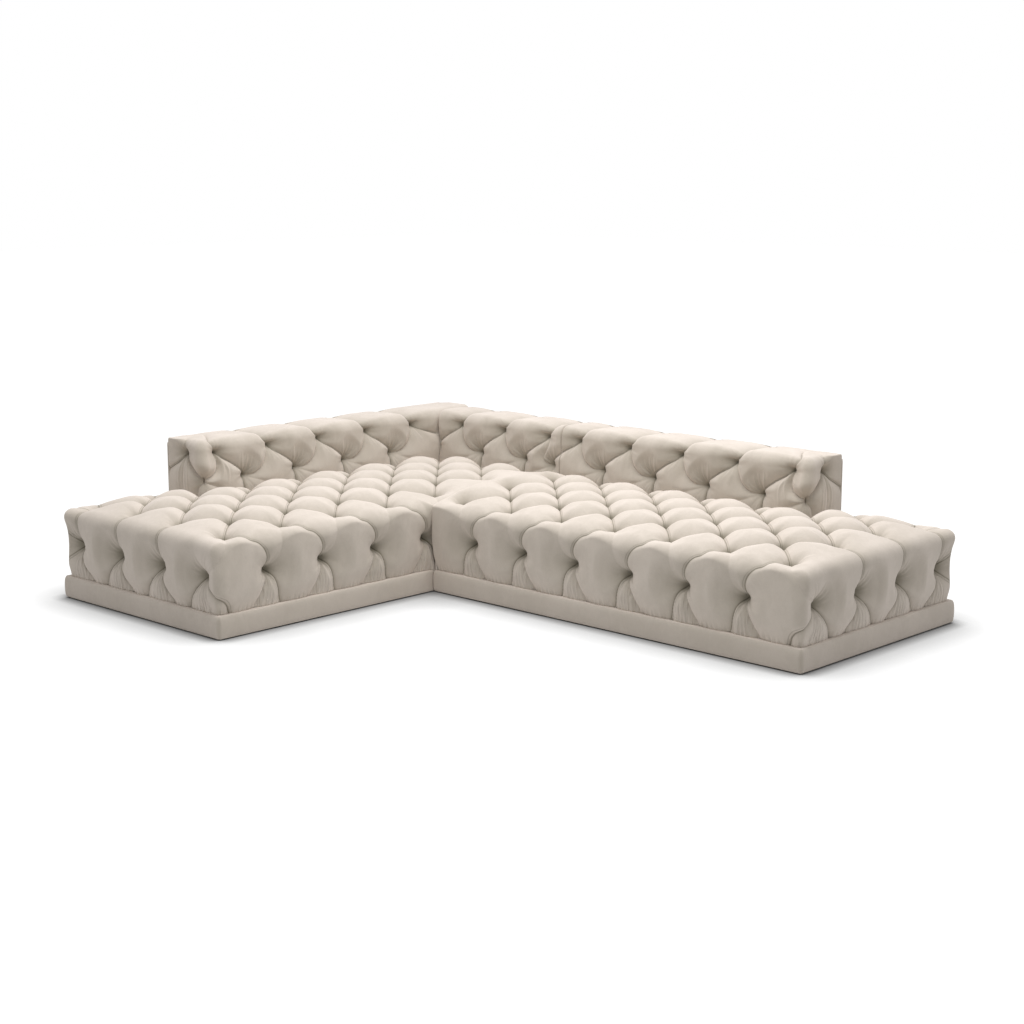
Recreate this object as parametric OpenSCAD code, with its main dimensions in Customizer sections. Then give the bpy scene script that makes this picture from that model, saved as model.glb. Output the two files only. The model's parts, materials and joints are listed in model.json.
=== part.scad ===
// L-shaped sofa in two upholstered units: a corner unit on the left and a straight unit on the right.
// Each unit has a plinth, a timber seat frame with webbing and foam, and a deep-tufted cover.
// Two low backs stand on the left unit and one on the right, and steel clips hold the units together.
// Millimetres, +Z up. The origin is the centre of the footprint, at the floor.

/* [Overall size] */
// Depth of each unit, from its outside back to its front
unit_depth = 1100; // [980:10:1240]
// Length of the left unit, from the back corner to its near end
left_length = 2295; // [2000:5:2600]
// Length of the right unit, from the joint to its free end
right_length = 1979; // [1700:1:2300]
// Gap between the two units where they meet
unit_gap = 1; // [0.6:0.1:2]
// Height of the seat's edge above the floor
seat_height = 398; // [370:1:440]
// Rise of the seat's middle above its edge
seat_crown = 60; // [20:1:64]
// Height of the backs above the floor
back_height = 655; // [620:1:720]
// Length of the left unit's side back, from the back corner
side_back_length = 1730; // [1500:5:1900]
// Length of the right unit's back, from the joint
right_back_length = 1416; // [1200:1:1600]
// Thickness of a back where it meets the seat
back_depth = 272; // [250:1:300]
// How much thinner a back is at its top
back_lean = 20; // [5:1:30]

/* [Plinth] */
// Height of the plinth's top above the floor
plinth_height = 98; // [80:1:110]
// Gap under the plinth's cloth band
floor_gap = 8; // [6:0.5:9]
// Height of a glide, and of the timber's underside
glide_height = 10; // [9.6:0.2:14]
// Radius of a glide
glide_r = 16; // [10:0.5:20]
// Distance from the plinth's faces to a glide's middle
glide_inset = 52; // [44:1:60]
// Thickness of the padded cloth band round the plinth
band_t = 6; // [3:0.5:8]
// Radius of the plinth's upright corners
corner_r = 18; // [8:1:30]
// Thickness of the plinth rails
plinth_rail_t = 25; // [18:1:30]
// Thickness of the underside cloth
dust_t = 0.8; // [0.4:0.1:0.9]

/* [Seat frame] */
// Thickness of the seat rails
rail_t = 30; // [22:1:40]
// Height of the seat rails above the plinth
rail_h = 130; // [100:1:140]
// Height of the seat's cross rails
cross_h = 85; // [60:1:95]
// Number of cross rails in each frame
cross_count = 3; // [2:1:4]
// Leg of a triangular corner block
block_leg = 90; // [60:1:120]
// Height of a corner block
block_h = 60; // [40:1:90]
// Width of a webbing strap
strap_w = 60; // [40:1:80]
// Thickness of a webbing strap
strap_t = 2; // [1.5:0.1:3]
// Least spacing between the middles of two straps
strap_pitch = 115; // [95:1:160]

/* [Upholstery] */
// Distance between neighbouring rows of tufts
tuft_step = 147; // [135:1:160]
// Distance from a unit's long faces to the first row of tufts
row_margin = 110; // [100:1:130]
// Distance from the left unit's near end to the first tufts
left_end_margin = 120; // [110:1:135]
// Distance from the left unit's far end to the last tufts
left_far_margin = 84; // [82:1:100]
// Distance from the right unit's free end to the first tufts
right_end_margin = 135; // [120:1:145]
// Distance from the joint to the right unit's last tufts
right_joint_margin = 84; // [82:1:100]
// Depth of a tuft in the seat's top
top_pit = 80; // [20:1:82]
// Depth of a tuft in a side face
side_pit = 48; // [15:1:52]
// Rise of the stuffing between the tufts
puff = 10; // [4:1:14]
// Height of the row of tufts round the seat's faces
side_tuft_z = 245; // [220:1:270]
// Drop of the seat's rounded top edge
edge_drop = 52; // [30:1:60]
// Distance by which the seat's faces are drawn in at their foot
foot_inset = 18; // [8:1:24]
// Thickness of the stuffing on the seat's faces
side_wall = 75; // [70:1:90]
// Thickness of the stuffing between the seat and a back
back_wall = 30; // [20:1:40]
// Thickness of the stuffing at the joint face
joint_wall = 25; // [15:1:40]
// Thickness of the stuffing over the foam core
top_wall = 88; // [80:1:100]

/* [Backs] */
// Height of the lower row of tufts in a back
low_tuft_z = 474; // [460:1:490]
// Height of the upper row of tufts in a back
high_tuft_z = 596; // [580:1:605]
// Depth of a tuft in a back
back_pit = 40; // [20:1:50]
// Distance from a back's ends to the upper tufts nearest them
back_margin = 100; // [80:1:130]
// Distance from a back's face, in the corner, to the first upper tuft
corner_margin = 137; // [110:1:170]
// Least distance between two tufts in a row of a back
back_pitch = 300; // [260:1:340]
// Height of a back pad's underside, below the seat's top
back_foot_z = 330; // [310:1:345]
// Thickness of the outside back cover
outside_t = 8; // [5:0.5:10]
// Distance from the outside plane to the outside back cover
outside_inset = 3; // [1:0.5:6]
// Width and depth of a back post
post_w = 45; // [35:1:45]
// Thickness of the back's top and lower boards
board_t = 20; // [15:1:24]
// Thickness of the back's front panel
panel_t = 12; // [9:1:15]
// Thickness of the stuffing in front of the back's front panel
front_wall = 92; // [80:1:100]
// Thickness of the stuffing over the back's top board
crest_wall = 92; // [80:1:110]
// Radius of a back bolt's shank
bolt_r = 4; // [3:0.5:5]

/* [Joining clips] */
// Thickness of a clip's tongue
tongue_t = 3; // [2:0.5:4]
// Width of a clip's tongue
tongue_w = 36; // [24:1:44]
// Length of a clip's tongue beyond the joint face
tongue_reach = 30; // [20:1:36]
// Distance from the outside back to the rear clip
rear_clip_at = 250; // [200:5:300]
// Distance from the outside back to the front clip
front_clip_at = 850; // [800:5:900]
// Width of a clip
clip_w = 50; // [48:1:60]
// Height of a clip
clip_h = 16; // [14:1:18]
// Length of a clip's jaw
jaw_l = 42; // [42:1:60]

/* [Hidden] */
$fn = 48;
// Room left between soft pieces and their neighbours, and the reach of a cut past what it cuts
clearance = 0.3;
overrun = 1;
total_width = unit_depth + unit_gap + right_length;

// Depth of a pleat between two tufts and rise beside a tuft, as shares of the tuft's depth and the puff
pleat_share = 0.30;
half_share = 0.35;
// How far the seat's upright corners reach, as a share of a square corner
corner_share = 0.80;
// How quickly the seat's crown rises from an edge, and the distance over which it rises from a free end
crown_power = 2.5;
end_reach = 400;
// Drop of the seat's top against a back, and the distance over which it drops
back_roll = 45;
roll_reach = 120;
// Drop of the seat's edge at the joint face
joint_edge = 12;
// Turns of the seat's rounded edge, in degrees
edge_turns = [32, 62];
// Shares for each ring of a seat face: its height, its inset and the depth of its tufts
face_shares = [[0.55, 0.1, 0.10], [0.0, 0.2, 1.0], [-0.45, 0.1, 0.12], [-0.85, 0.6, 0.0], [-1.0, 1.0, 0.0]];
// Shares for the front of a back's section: height, counted in tuft rows, and inset
front_shares = [[0, 0], [0.62, 0.02], [1, 0.02], [1.5, 0.04], [2, 0.02], [2.62, 0.05]];
// Shares for the top of a back's section: thickness and height
crest_shares = [[0.80, 1.0], [0.48, 1.02], [0.16, 1.0]];
// Shares of a tuft's depth on a back: between two tufts, beside one, between the rows and above the upper row
back_puff_share = -0.15;
back_half_share = 0.10;
between_share = 0.20;
above_share = 0.50;
// Turns and radius of a back's rounded end, and the place of its tuft across the thickness
end_turns = [28, 58, 84];
end_round = 42;
end_tuft_share = 0.45;

// Levels and lengths that follow from the sizes above
frame_top = plinth_height + rail_h;
core_z = frame_top + strap_t;
core_top = seat_height - top_wall;
notch = back_depth + clearance;
left_free = left_length - side_back_length;
right_free = right_length - right_back_length;
joint_start = left_length - unit_depth;
rows = round((unit_depth - 2 * row_margin) / tuft_step);
left_cols = round((left_length - left_end_margin - left_far_margin) / tuft_step);
right_cols = round((right_length - right_end_margin - right_joint_margin) / tuft_step);

// Positions of the tuft lines and of the lines halfway between them, one step past the tufts each way
function tuft_lines(first, last, steps) =
    [for (k = [-1 : 2 * steps + 1]) first + k * (last - first) / (2 * steps)];

// True where two line numbers cross at a tuft, counting from the line before the first tuft
function is_tuft(a, b) = a % 2 == 1 && b % 2 == 1 && (a + b) % 4 == 2;

// Rise or drop of the stuffing where two lines cross
function stuffing(a, b) =
    is_tuft(a, b) ? -top_pit
    : a % 2 == 1 && b % 2 == 1 ? puff
    : a % 2 == 0 && b % 2 == 0 ? -pleat_share * top_pit
    : half_share * puff;

// How full the seat's top stands at a distance from an edge: 0 at the edge and 1 beyond its reach
function swell(distance, reach) = 1 - pow(1 - min(max(distance, 0) / reach, 1), crown_power);

// Distance of a place on a seat from the foot of the backs that stand on it
function to_backs(u, v, length, joint_end) =
    let(side = norm([max(unit_depth - back_depth - u, 0),
            max(length - (joint_end ? right_back_length : side_back_length) - v, 0)]))
    joint_end ? side : min(side, max(length - back_depth - v, 0));

// Rise of the seat's top: low at its free edges, full at the joint, and pressed down against the backs
function crown(u, v, length, joint_from, joint_end) =
    seat_crown * swell(norm([max(u, 0), max(v - joint_from, 0)]), unit_depth / 2)
        * swell(unit_depth - u, unit_depth / 2) * swell(v, end_reach)
        * (joint_end ? 1 : swell(length - v, unit_depth / 2))
    - back_roll * pow(1 - min(to_backs(u, v, length, joint_end) / roll_reach, 1), 2);

// Line numbers in order round the edge of a grid
function rim(na, nb) = concat(
    [for (a = [0 : na - 1]) [a, 0]],
    [for (b = [0 : nb - 1]) [na, b]],
    [for (a = [na : -1 : 1]) [a, nb]],
    [for (b = [nb : -1 : 1]) [0, b]]);

// Tuft lines of a rim place: the end faces have theirs in line with the top's, the long faces between them
function rim_tuft(p, na, nb) =
    p[1] == 0 || p[1] == nb ? (p[0] % 4 == 1 ? 1 : 0)
    : (p[1] % 4 == 3 ? 1 : 0);

// Seat stuffing as one closed mesh: a grid of tufts on top and rings of points down its faces
module tufted_block(length, first, last, steps, joint_from, joint_end) {
    us = tuft_lines(row_margin, unit_depth - row_margin, rows);
    vs = tuft_lines(first, length - last, steps);
    na = len(us) - 1;
    nb = len(vs) - 1;
    loop = rim(na, nb);
    count = len(loop);
    base = plinth_height + clearance;
    low = seat_height - edge_drop;
    function rise(u, v) = crown(u, v, length, joint_from, joint_end);
    top_points = [for (b = [0 : nb]) for (a = [0 : na])
        [us[a], vs[b], seat_height + rise(us[a], vs[b]) + stuffing(a, b)]];
    function plain(p) = (p[1] == nb && joint_end) || (p[0] == 0 && vs[p[1]] > joint_from);
    function drop(p) = plain(p) ? joint_edge : edge_drop;
    function reach_u(p) = p[0] == 0 ? -us[0] : p[0] == na ? unit_depth - us[na] : 0;
    function reach_v(p) = p[1] == 0 ? -vs[0] : p[1] == nb ? length - vs[nb] : 0;
    function square(p) = p[0] % na == 0 && p[1] % nb == 0 && !plain(p) ? corner_share : 1;
    function shift(p, out, inset) = [
        us[p[0]] + reach_u(p) * out * square(p) - sign(reach_u(p)) * inset,
        vs[p[1]] + reach_v(p) * out * square(p) - sign(reach_v(p)) * inset];
    function edge_ring(turn) = [for (p = loop)
        let(q = shift(p, sin(turn), 0))
        concat(q, seat_height + rise(q[0], q[1]) - drop(p) * (1 - cos(turn)) + half_share * puff * cos(turn))];
    function face_z(share) = side_tuft_z + share * (share > 0 ? low - side_tuft_z : side_tuft_z - base);
    function face_ring(f) = [for (p = loop) concat(
        shift(p, 1, plain(p) ? 0 : f[1] * foot_inset + rim_tuft(p, na, nb) * f[2] * side_pit),
        face_z(f[0]))];
    rings = concat([for (turn = edge_turns) edge_ring(turn)], [for (f = face_shares) face_ring(f)]);
    ring_points = [for (ring = rings) for (p = ring) p];
    first_ring = len(top_points);
    centre = first_ring + len(ring_points);
    points = concat(top_points, ring_points, [[unit_depth / 2, length / 2, base]]);
    function at_top(a, b) = b * (na + 1) + a;
    function at_ring(r, k) = r < 0
        ? at_top(loop[k % count][0], loop[k % count][1])
        : first_ring + r * count + k % count;
    top_faces = [for (b = [0 : nb - 1]) for (a = [0 : na - 1]) for (half = [0, 1])
        (a + b) % 2 == 0
        ? (half == 0 ? [at_top(a, b), at_top(a + 1, b + 1), at_top(a + 1, b)]
            : [at_top(a, b), at_top(a, b + 1), at_top(a + 1, b + 1)])
        : (half == 0 ? [at_top(a, b), at_top(a, b + 1), at_top(a + 1, b)]
            : [at_top(a + 1, b), at_top(a, b + 1), at_top(a + 1, b + 1)])];
    ring_faces = [for (r = [-1 : len(rings) - 2]) for (k = [0 : count - 1]) for (half = [0, 1])
        half == 0 ? [at_ring(r, k), at_ring(r, k + 1), at_ring(r + 1, k)]
            : [at_ring(r, k + 1), at_ring(r + 1, k + 1), at_ring(r + 1, k)]];
    foot_faces = [for (k = [0 : count - 1])
        [at_ring(len(rings) - 1, k), at_ring(len(rings) - 1, k + 1), centre]];
    polyhedron(points, concat(top_faces, ring_faces, foot_faces));
}

// A box between two corners
module block(low, high) {
    translate(low) cube(high - low);
}

// Places a unit's pieces: first number from its front face back, second from its free end
module in_left() {
    translate([unit_depth - total_width / 2, -left_length / 2, 0]) mirror([1, 0, 0]) children();
}
module in_right() {
    translate([total_width / 2, left_length / 2 - unit_depth, 0]) rotate(90) children();
}

// Places a back's pieces: first number along it from the corner or joint, second in from its outside
module along_side() {
    translate([-total_width / 2, left_length / 2, 0]) rotate(-90) children();
}
module along_rear() {
    translate([-total_width / 2, left_length / 2, 0]) mirror([0, 1, 0]) children();
}
module along_right() {
    translate([unit_depth + unit_gap - total_width / 2, left_length / 2, 0]) mirror([0, 1, 0]) children();
}

// Plinth
rail_in = band_t + plinth_rail_t;
notch_z = glide_height + clip_h + dust_t;

// Middles of the clips in a unit, measured along its joint face from the outside back
clip_places = [rear_clip_at, front_clip_at];

module clip_gaps_front(length) {
    for (place = clip_places)
        block([-overrun, length - place - clip_w / 2 - clearance, -overrun],
            [rail_in + overrun, length - place + clip_w / 2 + clearance, notch_z]);
}

module clip_gaps_end(length) {
    for (place = clip_places)
        block([unit_depth - place - clip_w / 2 - clearance, length - rail_in - overrun, -overrun],
            [unit_depth - place + clip_w / 2 + clearance, length + overrun, notch_z]);
}

module plinth_front_rail(length) {
    block([band_t, band_t, glide_height], [rail_in, length - band_t, plinth_height]);
}

module plinth_back_rail(length) {
    block([unit_depth - rail_in, band_t, glide_height],
        [unit_depth - band_t, length - band_t, plinth_height]);
}

module plinth_end_rails(length) {
    for (v = [band_t, length - rail_in])
        block([rail_in, v, glide_height], [unit_depth - rail_in, v + plinth_rail_t, plinth_height]);
}

function cross_at(length, k) = side_wall + (length - 2 * side_wall) * k / (cross_count + 1);

module plinth_cross_rails(length) {
    for (k = [1 : cross_count])
        block([rail_in, cross_at(length, k) - plinth_rail_t / 2, glide_height],
            [unit_depth - rail_in, cross_at(length, k) + plinth_rail_t / 2, plinth_height]);
}

// Plate with round upright corners, from the origin of a unit's footprint
module rounded_plate(size, bottom, top, r) {
    translate([0, 0, bottom])
        linear_extrude(top - bottom) {
            for (u = [r, size[0] - r])
                for (v = [r, size[1] - r])
                    translate([u, v]) circle(r);
            translate([0, r]) square([size[0], size[1] - 2 * r]);
            translate([r, 0]) square([size[0] - 2 * r, size[1]]);
        }
}

module plinth_band(length) {
    difference() {
        rounded_plate([unit_depth, length], floor_gap, plinth_height, corner_r);
        block([band_t, band_t, -overrun], [unit_depth - band_t, length - band_t, plinth_height + overrun]);
    }
}

// Middles of the glides, in pairs along the unit
function glide_places(length) = [
    for (u = [glide_inset, unit_depth - glide_inset])
        for (share = [0, 0.5, 1])
            [u, glide_inset + share * (length - 2 * glide_inset)]];

// Corner plates carry the glides between the rails
module glide_plates(length) {
    for (p = glide_places(length)) {
        inner = sign(unit_depth / 2 - p[0]);
        face = p[0] + inner * (rail_in - glide_inset);
        far = p[0] + inner * glide_r;
        middle = abs(p[1] - length / 2) < glide_r;
        low_v = p[1] < glide_inset + overrun ? rail_in : p[1] - glide_r;
        high_v = p[1] > length - glide_inset - overrun ? length - rail_in : p[1] + glide_r;
        half_t = plinth_rail_t / 2 + clearance;
        for (span = middle ? [[length / 2 + half_t, high_v + half_t], [low_v - half_t, length / 2 - half_t]]
            : [[low_v, high_v]])
            block([min(face, far), span[0], glide_height], [max(face, far), span[1], glide_height + board_t]);
    }
}

module glides(length) {
    for (p = glide_places(length))
        translate([p[0], p[1], 0]) {
            cylinder(h = glide_height / 2, r1 = glide_r - glide_height / 4, r2 = glide_r);
            translate([0, 0, glide_height / 2]) cylinder(h = glide_height / 2, r = glide_r);
        }
}

module dust_cloth(length) {
    difference() {
        block([rail_in / 2, rail_in / 2, glide_height - dust_t],
            [unit_depth - rail_in / 2, length - rail_in / 2, glide_height]);
        for (p = glide_places(length))
            translate([p[0], p[1], 0]) cylinder(h = 2 * glide_height, r = glide_r + clearance);
        children();
    }
}

// Seat frame
rail_out = side_wall;
rail_end = side_wall + rail_t;

module seat_front_rail(length, far) {
    block([rail_out, rail_out, plinth_height], [rail_end, length - far, frame_top]);
}

module seat_back_rail(length, far) {
    block([unit_depth - rail_end, rail_out, plinth_height], [unit_depth - rail_out, length - far, frame_top]);
}

module seat_end_rails(length, far) {
    for (v = [rail_out, length - far - rail_t])
        block([rail_end, v, plinth_height], [unit_depth - rail_end, v + rail_t, frame_top]);
}

module seat_cross_rails(length) {
    for (k = [1 : cross_count])
        block([rail_end, cross_at(length, k) - rail_t / 2, plinth_height],
            [unit_depth - rail_end, cross_at(length, k) + rail_t / 2, plinth_height + cross_h]);
}

module corner_blocks(length, far) {
    for (su = [0, 1])
        for (sv = [0, 1])
            translate([su ? unit_depth - rail_end : rail_end, sv ? length - far - rail_t : rail_end,
                frame_top - block_h])
                mirror([su, 0, 0])
                    mirror([0, sv, 0])
                        linear_extrude(block_h) polygon([[0, 0], [block_leg, 0], [0, block_leg]]);
}

function strap_count(length, far) = floor((length - rail_end - far - rail_t - strap_w) / strap_pitch);

module webbing(length, far) {
    count = strap_count(length, far);
    start = rail_end + strap_w / 2;
    finish = length - far - rail_t - strap_w / 2;
    for (k = [0 : count])
        block([rail_out, start + (finish - start) * k / count - strap_w / 2, frame_top],
            [unit_depth - rail_out, start + (finish - start) * k / count + strap_w / 2, core_z]);
}

module foam_core(length, far) {
    block([side_wall, side_wall, core_z], [unit_depth - notch - back_wall, length - far, core_top]);
}

module seat_hollow(length, far, core_far) {
    block([side_wall - clearance, side_wall - clearance, -overrun],
        [unit_depth - side_wall + clearance, length - far + clearance, core_z + clearance]);
    block([side_wall - clearance, side_wall - clearance, -overrun],
        [unit_depth - notch - back_wall + clearance, length - core_far + clearance, core_top + clearance]);
}

// Backs
panel_face = back_depth - back_lean - front_wall;
panel_back = panel_face - panel_t;
post_in = rail_out - post_w;
board_top = back_height - crest_wall;
cover_face = outside_inset + outside_t;

function post_count(from, to) = max(2, floor((to - from) / (2 * back_pitch)) + 1);
function post_at(from, to, k) =
    from + block_leg + (to - from - 2 * block_leg - post_w) * k / (post_count(from, to) - 1);

// Heights of the two bolts that hold each post, and the size of their heads and nuts
nut_r = 2 * bolt_r;
nut_t = bolt_r;
bolt_heights = [plinth_height + rail_h / 4, plinth_height + 3 * rail_h / 4];

module each_bolt(from, to) {
    for (k = [0 : post_count(from, to) - 1])
        for (z = bolt_heights)
            translate([post_at(from, to, k) + post_w / 2, 0, z]) rotate([-90, 0, 0]) children();
}

// Each hole has a recess for the nut in the inner face of the rail
module bolt_holes(from, to) {
    each_bolt(from, to) {
        cylinder(h = rail_end + overrun, r = bolt_r + clearance);
        translate([0, 0, rail_end - nut_t]) cylinder(h = nut_t + overrun, r = nut_r + clearance);
    }
}

module back_posts(from, to) {
    difference() {
        for (k = [0 : post_count(from, to) - 1])
            block([post_at(from, to, k), post_in, plinth_height],
                [post_at(from, to, k) + post_w, rail_out, board_top - board_t]);
        bolt_holes(from, to);
    }
}

module bolts(from, to) {
    each_bolt(from, to) {
        translate([0, 0, post_in - nut_t]) cylinder(h = nut_t, r = nut_r);
        translate([0, 0, post_in - nut_t / 2]) cylinder(h = post_w + rail_t + nut_t / 2, r = bolt_r);
        translate([0, 0, rail_end - nut_t]) cylinder(h = nut_t, r = nut_r, $fn = 6);
    }
}

module top_board(from, to) {
    block([from, post_in, board_top - board_t], [to, panel_back, board_top]);
}

module lower_board(from, to) {
    block([from, rail_out, back_foot_z], [to, panel_back, back_foot_z + board_t]);
}

module front_panel(from, to) {
    block([from, panel_back, back_foot_z], [to, panel_face, board_top]);
}

module outside_cover(from, to) {
    block([from, outside_inset, plinth_height + clearance],
        [to, cover_face - clearance, back_height - crest_wall / 4]);
}

// Back stuffing as one closed mesh: sections along its length, each a ring of points from foot to crest
module tufted_back(from, to, first, last, steps, rounded_end) {
    lines = tuft_lines(first, last, steps);
    inner = [for (s = lines) if (s > from + overrun && s < to - end_round - overrun) s];
    shown = [for (k = [0 : len(lines) - 1])
        if (lines[k] > from + overrun && lines[k] < to - end_round - overrun) k];
    height = back_height - back_foot_z;
    function level(share) = share <= 1 ? back_foot_z + share * (low_tuft_z - back_foot_z)
        : share <= 2 ? low_tuft_z + (share - 1) * (high_tuft_z - low_tuft_z)
        : high_tuft_z + (share - 2) * (back_height - high_tuft_z);
    function face_at(z) = back_depth - back_lean * (z - back_foot_z) / height;
    // Shares of a tuft's depth on a line number, for the lower and the upper row
    function tuft_share(k, place) = k % 4 == place ? 1 : k % 2 == 1 ? back_puff_share : back_half_share;
    function dent(k, row) = row == 2 ? tuft_share(k, 3)
        : row == 3 ? between_share
        : row == 4 ? tuft_share(k, 1)
        : row == 5 ? above_share * max(tuft_share(k, 1), 0)
        : 0;
    function section(k, tufted) = concat(
        [for (row = [0 : len(front_shares) - 1])
            let (z = level(front_shares[row][0]))
            [face_at(z) - front_shares[row][1] * back_depth - (tufted ? dent(k, row) * back_pit : 0), z]],
        [for (c = crest_shares)
            [cover_face + c[0] * (back_depth - back_lean - cover_face),
                back_height + (c[1] - 1) * height - (tufted && k % 4 == 1 ? c[0] * puff : 0)]],
        [[cover_face, back_height - crest_wall / 4], [cover_face, back_foot_z]]);
    function drawn_in(p, amount) = [
        p[0] <= cover_face ? p[0] : p[0] - amount * (p[0] - cover_face) / back_depth,
        p[1] <= back_foot_z ? p[1] : p[1] - amount * (p[1] - back_foot_z) / height];
    body = [for (i = [0 : len(shown) - 1])
        [for (p = section(shown[i], true)) [inner[i], p[0], p[1]]]];
    start = [for (p = section(0, false)) [from, p[0], p[1]]];
    finish = rounded_end
        ? [for (turn = end_turns) [for (p = section(0, false))
            let (q = drawn_in(p, end_round * (1 - cos(turn))))
            [to - end_round * (1 - sin(turn)), q[0], q[1]]]]
        : [[for (p = section(0, false)) [to, p[0], p[1]]]];
    rings = concat([start], body, finish);
    size = len(start);
    last_ring = len(rings) - 1;
    middle = [cover_face + end_tuft_share * (back_depth - cover_face), high_tuft_z];
    points = concat([for (ring = rings) for (p = ring) p],
        [concat(from, middle)],
        [concat(rounded_end ? to - back_pit : to, middle)]);
    faces = concat(
        [for (r = [0 : last_ring - 1]) for (k = [0 : size - 1]) for (half = [0, 1])
            half == 0 ? [r * size + k, (r + 1) * size + k, r * size + (k + 1) % size]
                : [r * size + (k + 1) % size, (r + 1) * size + k, (r + 1) * size + (k + 1) % size]],
        [for (k = [0 : size - 1]) [k, (k + 1) % size, len(points) - 2]],
        [for (k = [0 : size - 1])
            [last_ring * size + (k + 1) % size, last_ring * size + k, len(points) - 1]]);
    polyhedron(points, faces);
}

module back_pad(from, to, board_from, board_to, first, last, steps, rounded_end) {
    difference() {
        tufted_back(from, to, first, last, steps, rounded_end);
        block([board_from - clearance, -overrun, back_foot_z - overrun],
            [board_to + clearance, panel_face + clearance, board_top + clearance]);
    }
}

// Joining clips: the tongue's middle height and the screws' size
tongue_z = glide_height + dust_t + clip_h / 2;
screw_r = 2;
screw_l = 24;

module each_clip(joint, side) {
    for (place = clip_places)
        translate([joint, left_length / 2 - place, 0]) mirror([side, 0, 0]) children();
}

// Screws stand in pairs, beside the tongue and under the middle of the plinth rail
function screw_places() = [for (v = [-1, 1]) [band_t + plinth_rail_t / 2, v * (clip_w / 2 - 2 * screw_r)]];

module screw_hole(extra) {
    for (p = screw_places())
        translate([p[0], p[1], notch_z - clip_h - overrun])
            cylinder(h = clip_h + screw_l + 2 * overrun, r = screw_r + extra);
}

module screws() {
    for (p = screw_places())
        translate([p[0], p[1], notch_z - clip_h]) {
            cylinder(h = screw_l + clip_h / 2, r = screw_r);
            translate([0, 0, -screw_r / 2]) cylinder(h = screw_r / 2, r = 2 * screw_r);
        }
}

// A jaw opens towards the joint and takes a tongue between its plates
module jaw() {
    difference() {
        block([0, -clip_w / 2, notch_z - clip_h], [jaw_l, clip_w / 2, notch_z]);
        block([-overrun, -tongue_w / 2 - clearance, tongue_z - tongue_t / 2 - clearance],
            [tongue_reach + joint_edge / 4, tongue_w / 2 + clearance, tongue_z + tongue_t / 2 + clearance]);
        screw_hole(clearance / 2);
    }
}

module tongue() {
    difference() {
        union() {
            block([band_t, -clip_w / 2, notch_z - clip_h], [rail_in, clip_w / 2, notch_z]);
            block([-tongue_reach - unit_gap, -tongue_w / 2, tongue_z - tongue_t / 2],
                [rail_in, tongue_w / 2, tongue_z + tongue_t / 2]);
        }
        screw_hole(clearance / 2);
    }
}

// Board that closes a unit's joint face under its back
module joint_panel(length) {
    block([band_t, length - back_depth, plinth_height], [band_t + panel_t, length - rail_in, back_foot_z]);
}

// Ranges of each back along its own length
side_range = [cover_face, side_back_length];
rear_range = [back_depth + clearance, unit_depth];
right_range = [0, right_back_length];
// Ranges of the posts, which stand beside a seat rail
side_posts = [rail_end, side_back_length];
rear_posts = [back_depth, unit_depth - rail_end];
right_posts = [joint_wall + rail_t, right_back_length];
corner_tuft = back_depth + corner_margin;
left_core_far = notch + back_wall;
rear_board = [back_depth + clearance, unit_depth - joint_wall];
right_board = [joint_wall, right_back_length - side_wall];
// Places of the two joint faces
joint_left = unit_depth - total_width / 2;
joint_right = joint_left + unit_gap;

function back_steps(first, last) = 2 * round((last - first) / back_pitch);

fabric = [0.82, 0.78, 0.73];
shade = [0.72, 0.68, 0.63];
timber = [0.78, 0.62, 0.42];
board = [0.86, 0.74, 0.56];
foam = [0.93, 0.88, 0.70];
cloth = [0.16, 0.16, 0.17];
steel = [0.66, 0.67, 0.69];
plastic = [0.10, 0.10, 0.11];

module left_glides() { color(plastic) in_left() glides(left_length); }
module left_glide_plates() { color(timber) in_left() glide_plates(left_length); }
module left_plinth_front_rail() {
    color(timber) difference() {
        in_left() plinth_front_rail(left_length);
        in_left() clip_gaps_front(left_length);
        each_clip(joint_left, 1) screw_hole(clearance / 2);
    }
}
module left_plinth_back_rail() { color(timber) in_left() plinth_back_rail(left_length); }
module left_plinth_end_rails() { color(timber) in_left() plinth_end_rails(left_length); }
module left_plinth_cross_rails() { color(timber) in_left() plinth_cross_rails(left_length); }
module left_plinth_band() {
    color(fabric) in_left() difference() {
        plinth_band(left_length);
        clip_gaps_front(left_length);
    }
}
module left_dust_cloth() { color(cloth) in_left() dust_cloth(left_length) clip_gaps_front(left_length); }
module left_seat_front_rail() { color(timber) in_left() seat_front_rail(left_length, side_wall); }
module left_seat_back_rail() {
    color(timber) difference() {
        in_left() seat_back_rail(left_length, side_wall);
        along_side() bolt_holes(side_posts[0], side_posts[1]);
    }
}
module left_seat_end_rails() {
    color(timber) difference() {
        in_left() seat_end_rails(left_length, side_wall);
        along_rear() bolt_holes(rear_posts[0], rear_posts[1]);
    }
}
module left_seat_cross_rails() { color(timber) in_left() seat_cross_rails(left_length); }
module left_corner_blocks() { color(timber) in_left() corner_blocks(left_length, side_wall); }
module left_webbing() { color(cloth) in_left() webbing(left_length, side_wall); }
module left_foam_core() { color(foam) in_left() foam_core(left_length, left_core_far); }
module left_seat_pad() {
    color(fabric) in_left() difference() {
        tufted_block(left_length, left_end_margin, left_far_margin, left_cols, joint_start, false);
        seat_hollow(left_length, side_wall, left_core_far);
        block([unit_depth - notch, left_free - clearance, -overrun],
            [unit_depth + overrun, left_length + overrun, back_height]);
        block([-overrun, left_length - notch, -overrun],
            [unit_depth, left_length + overrun, back_height]);
    }
}
module left_joint_panel() { color(board) in_left() joint_panel(left_length); }

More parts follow.
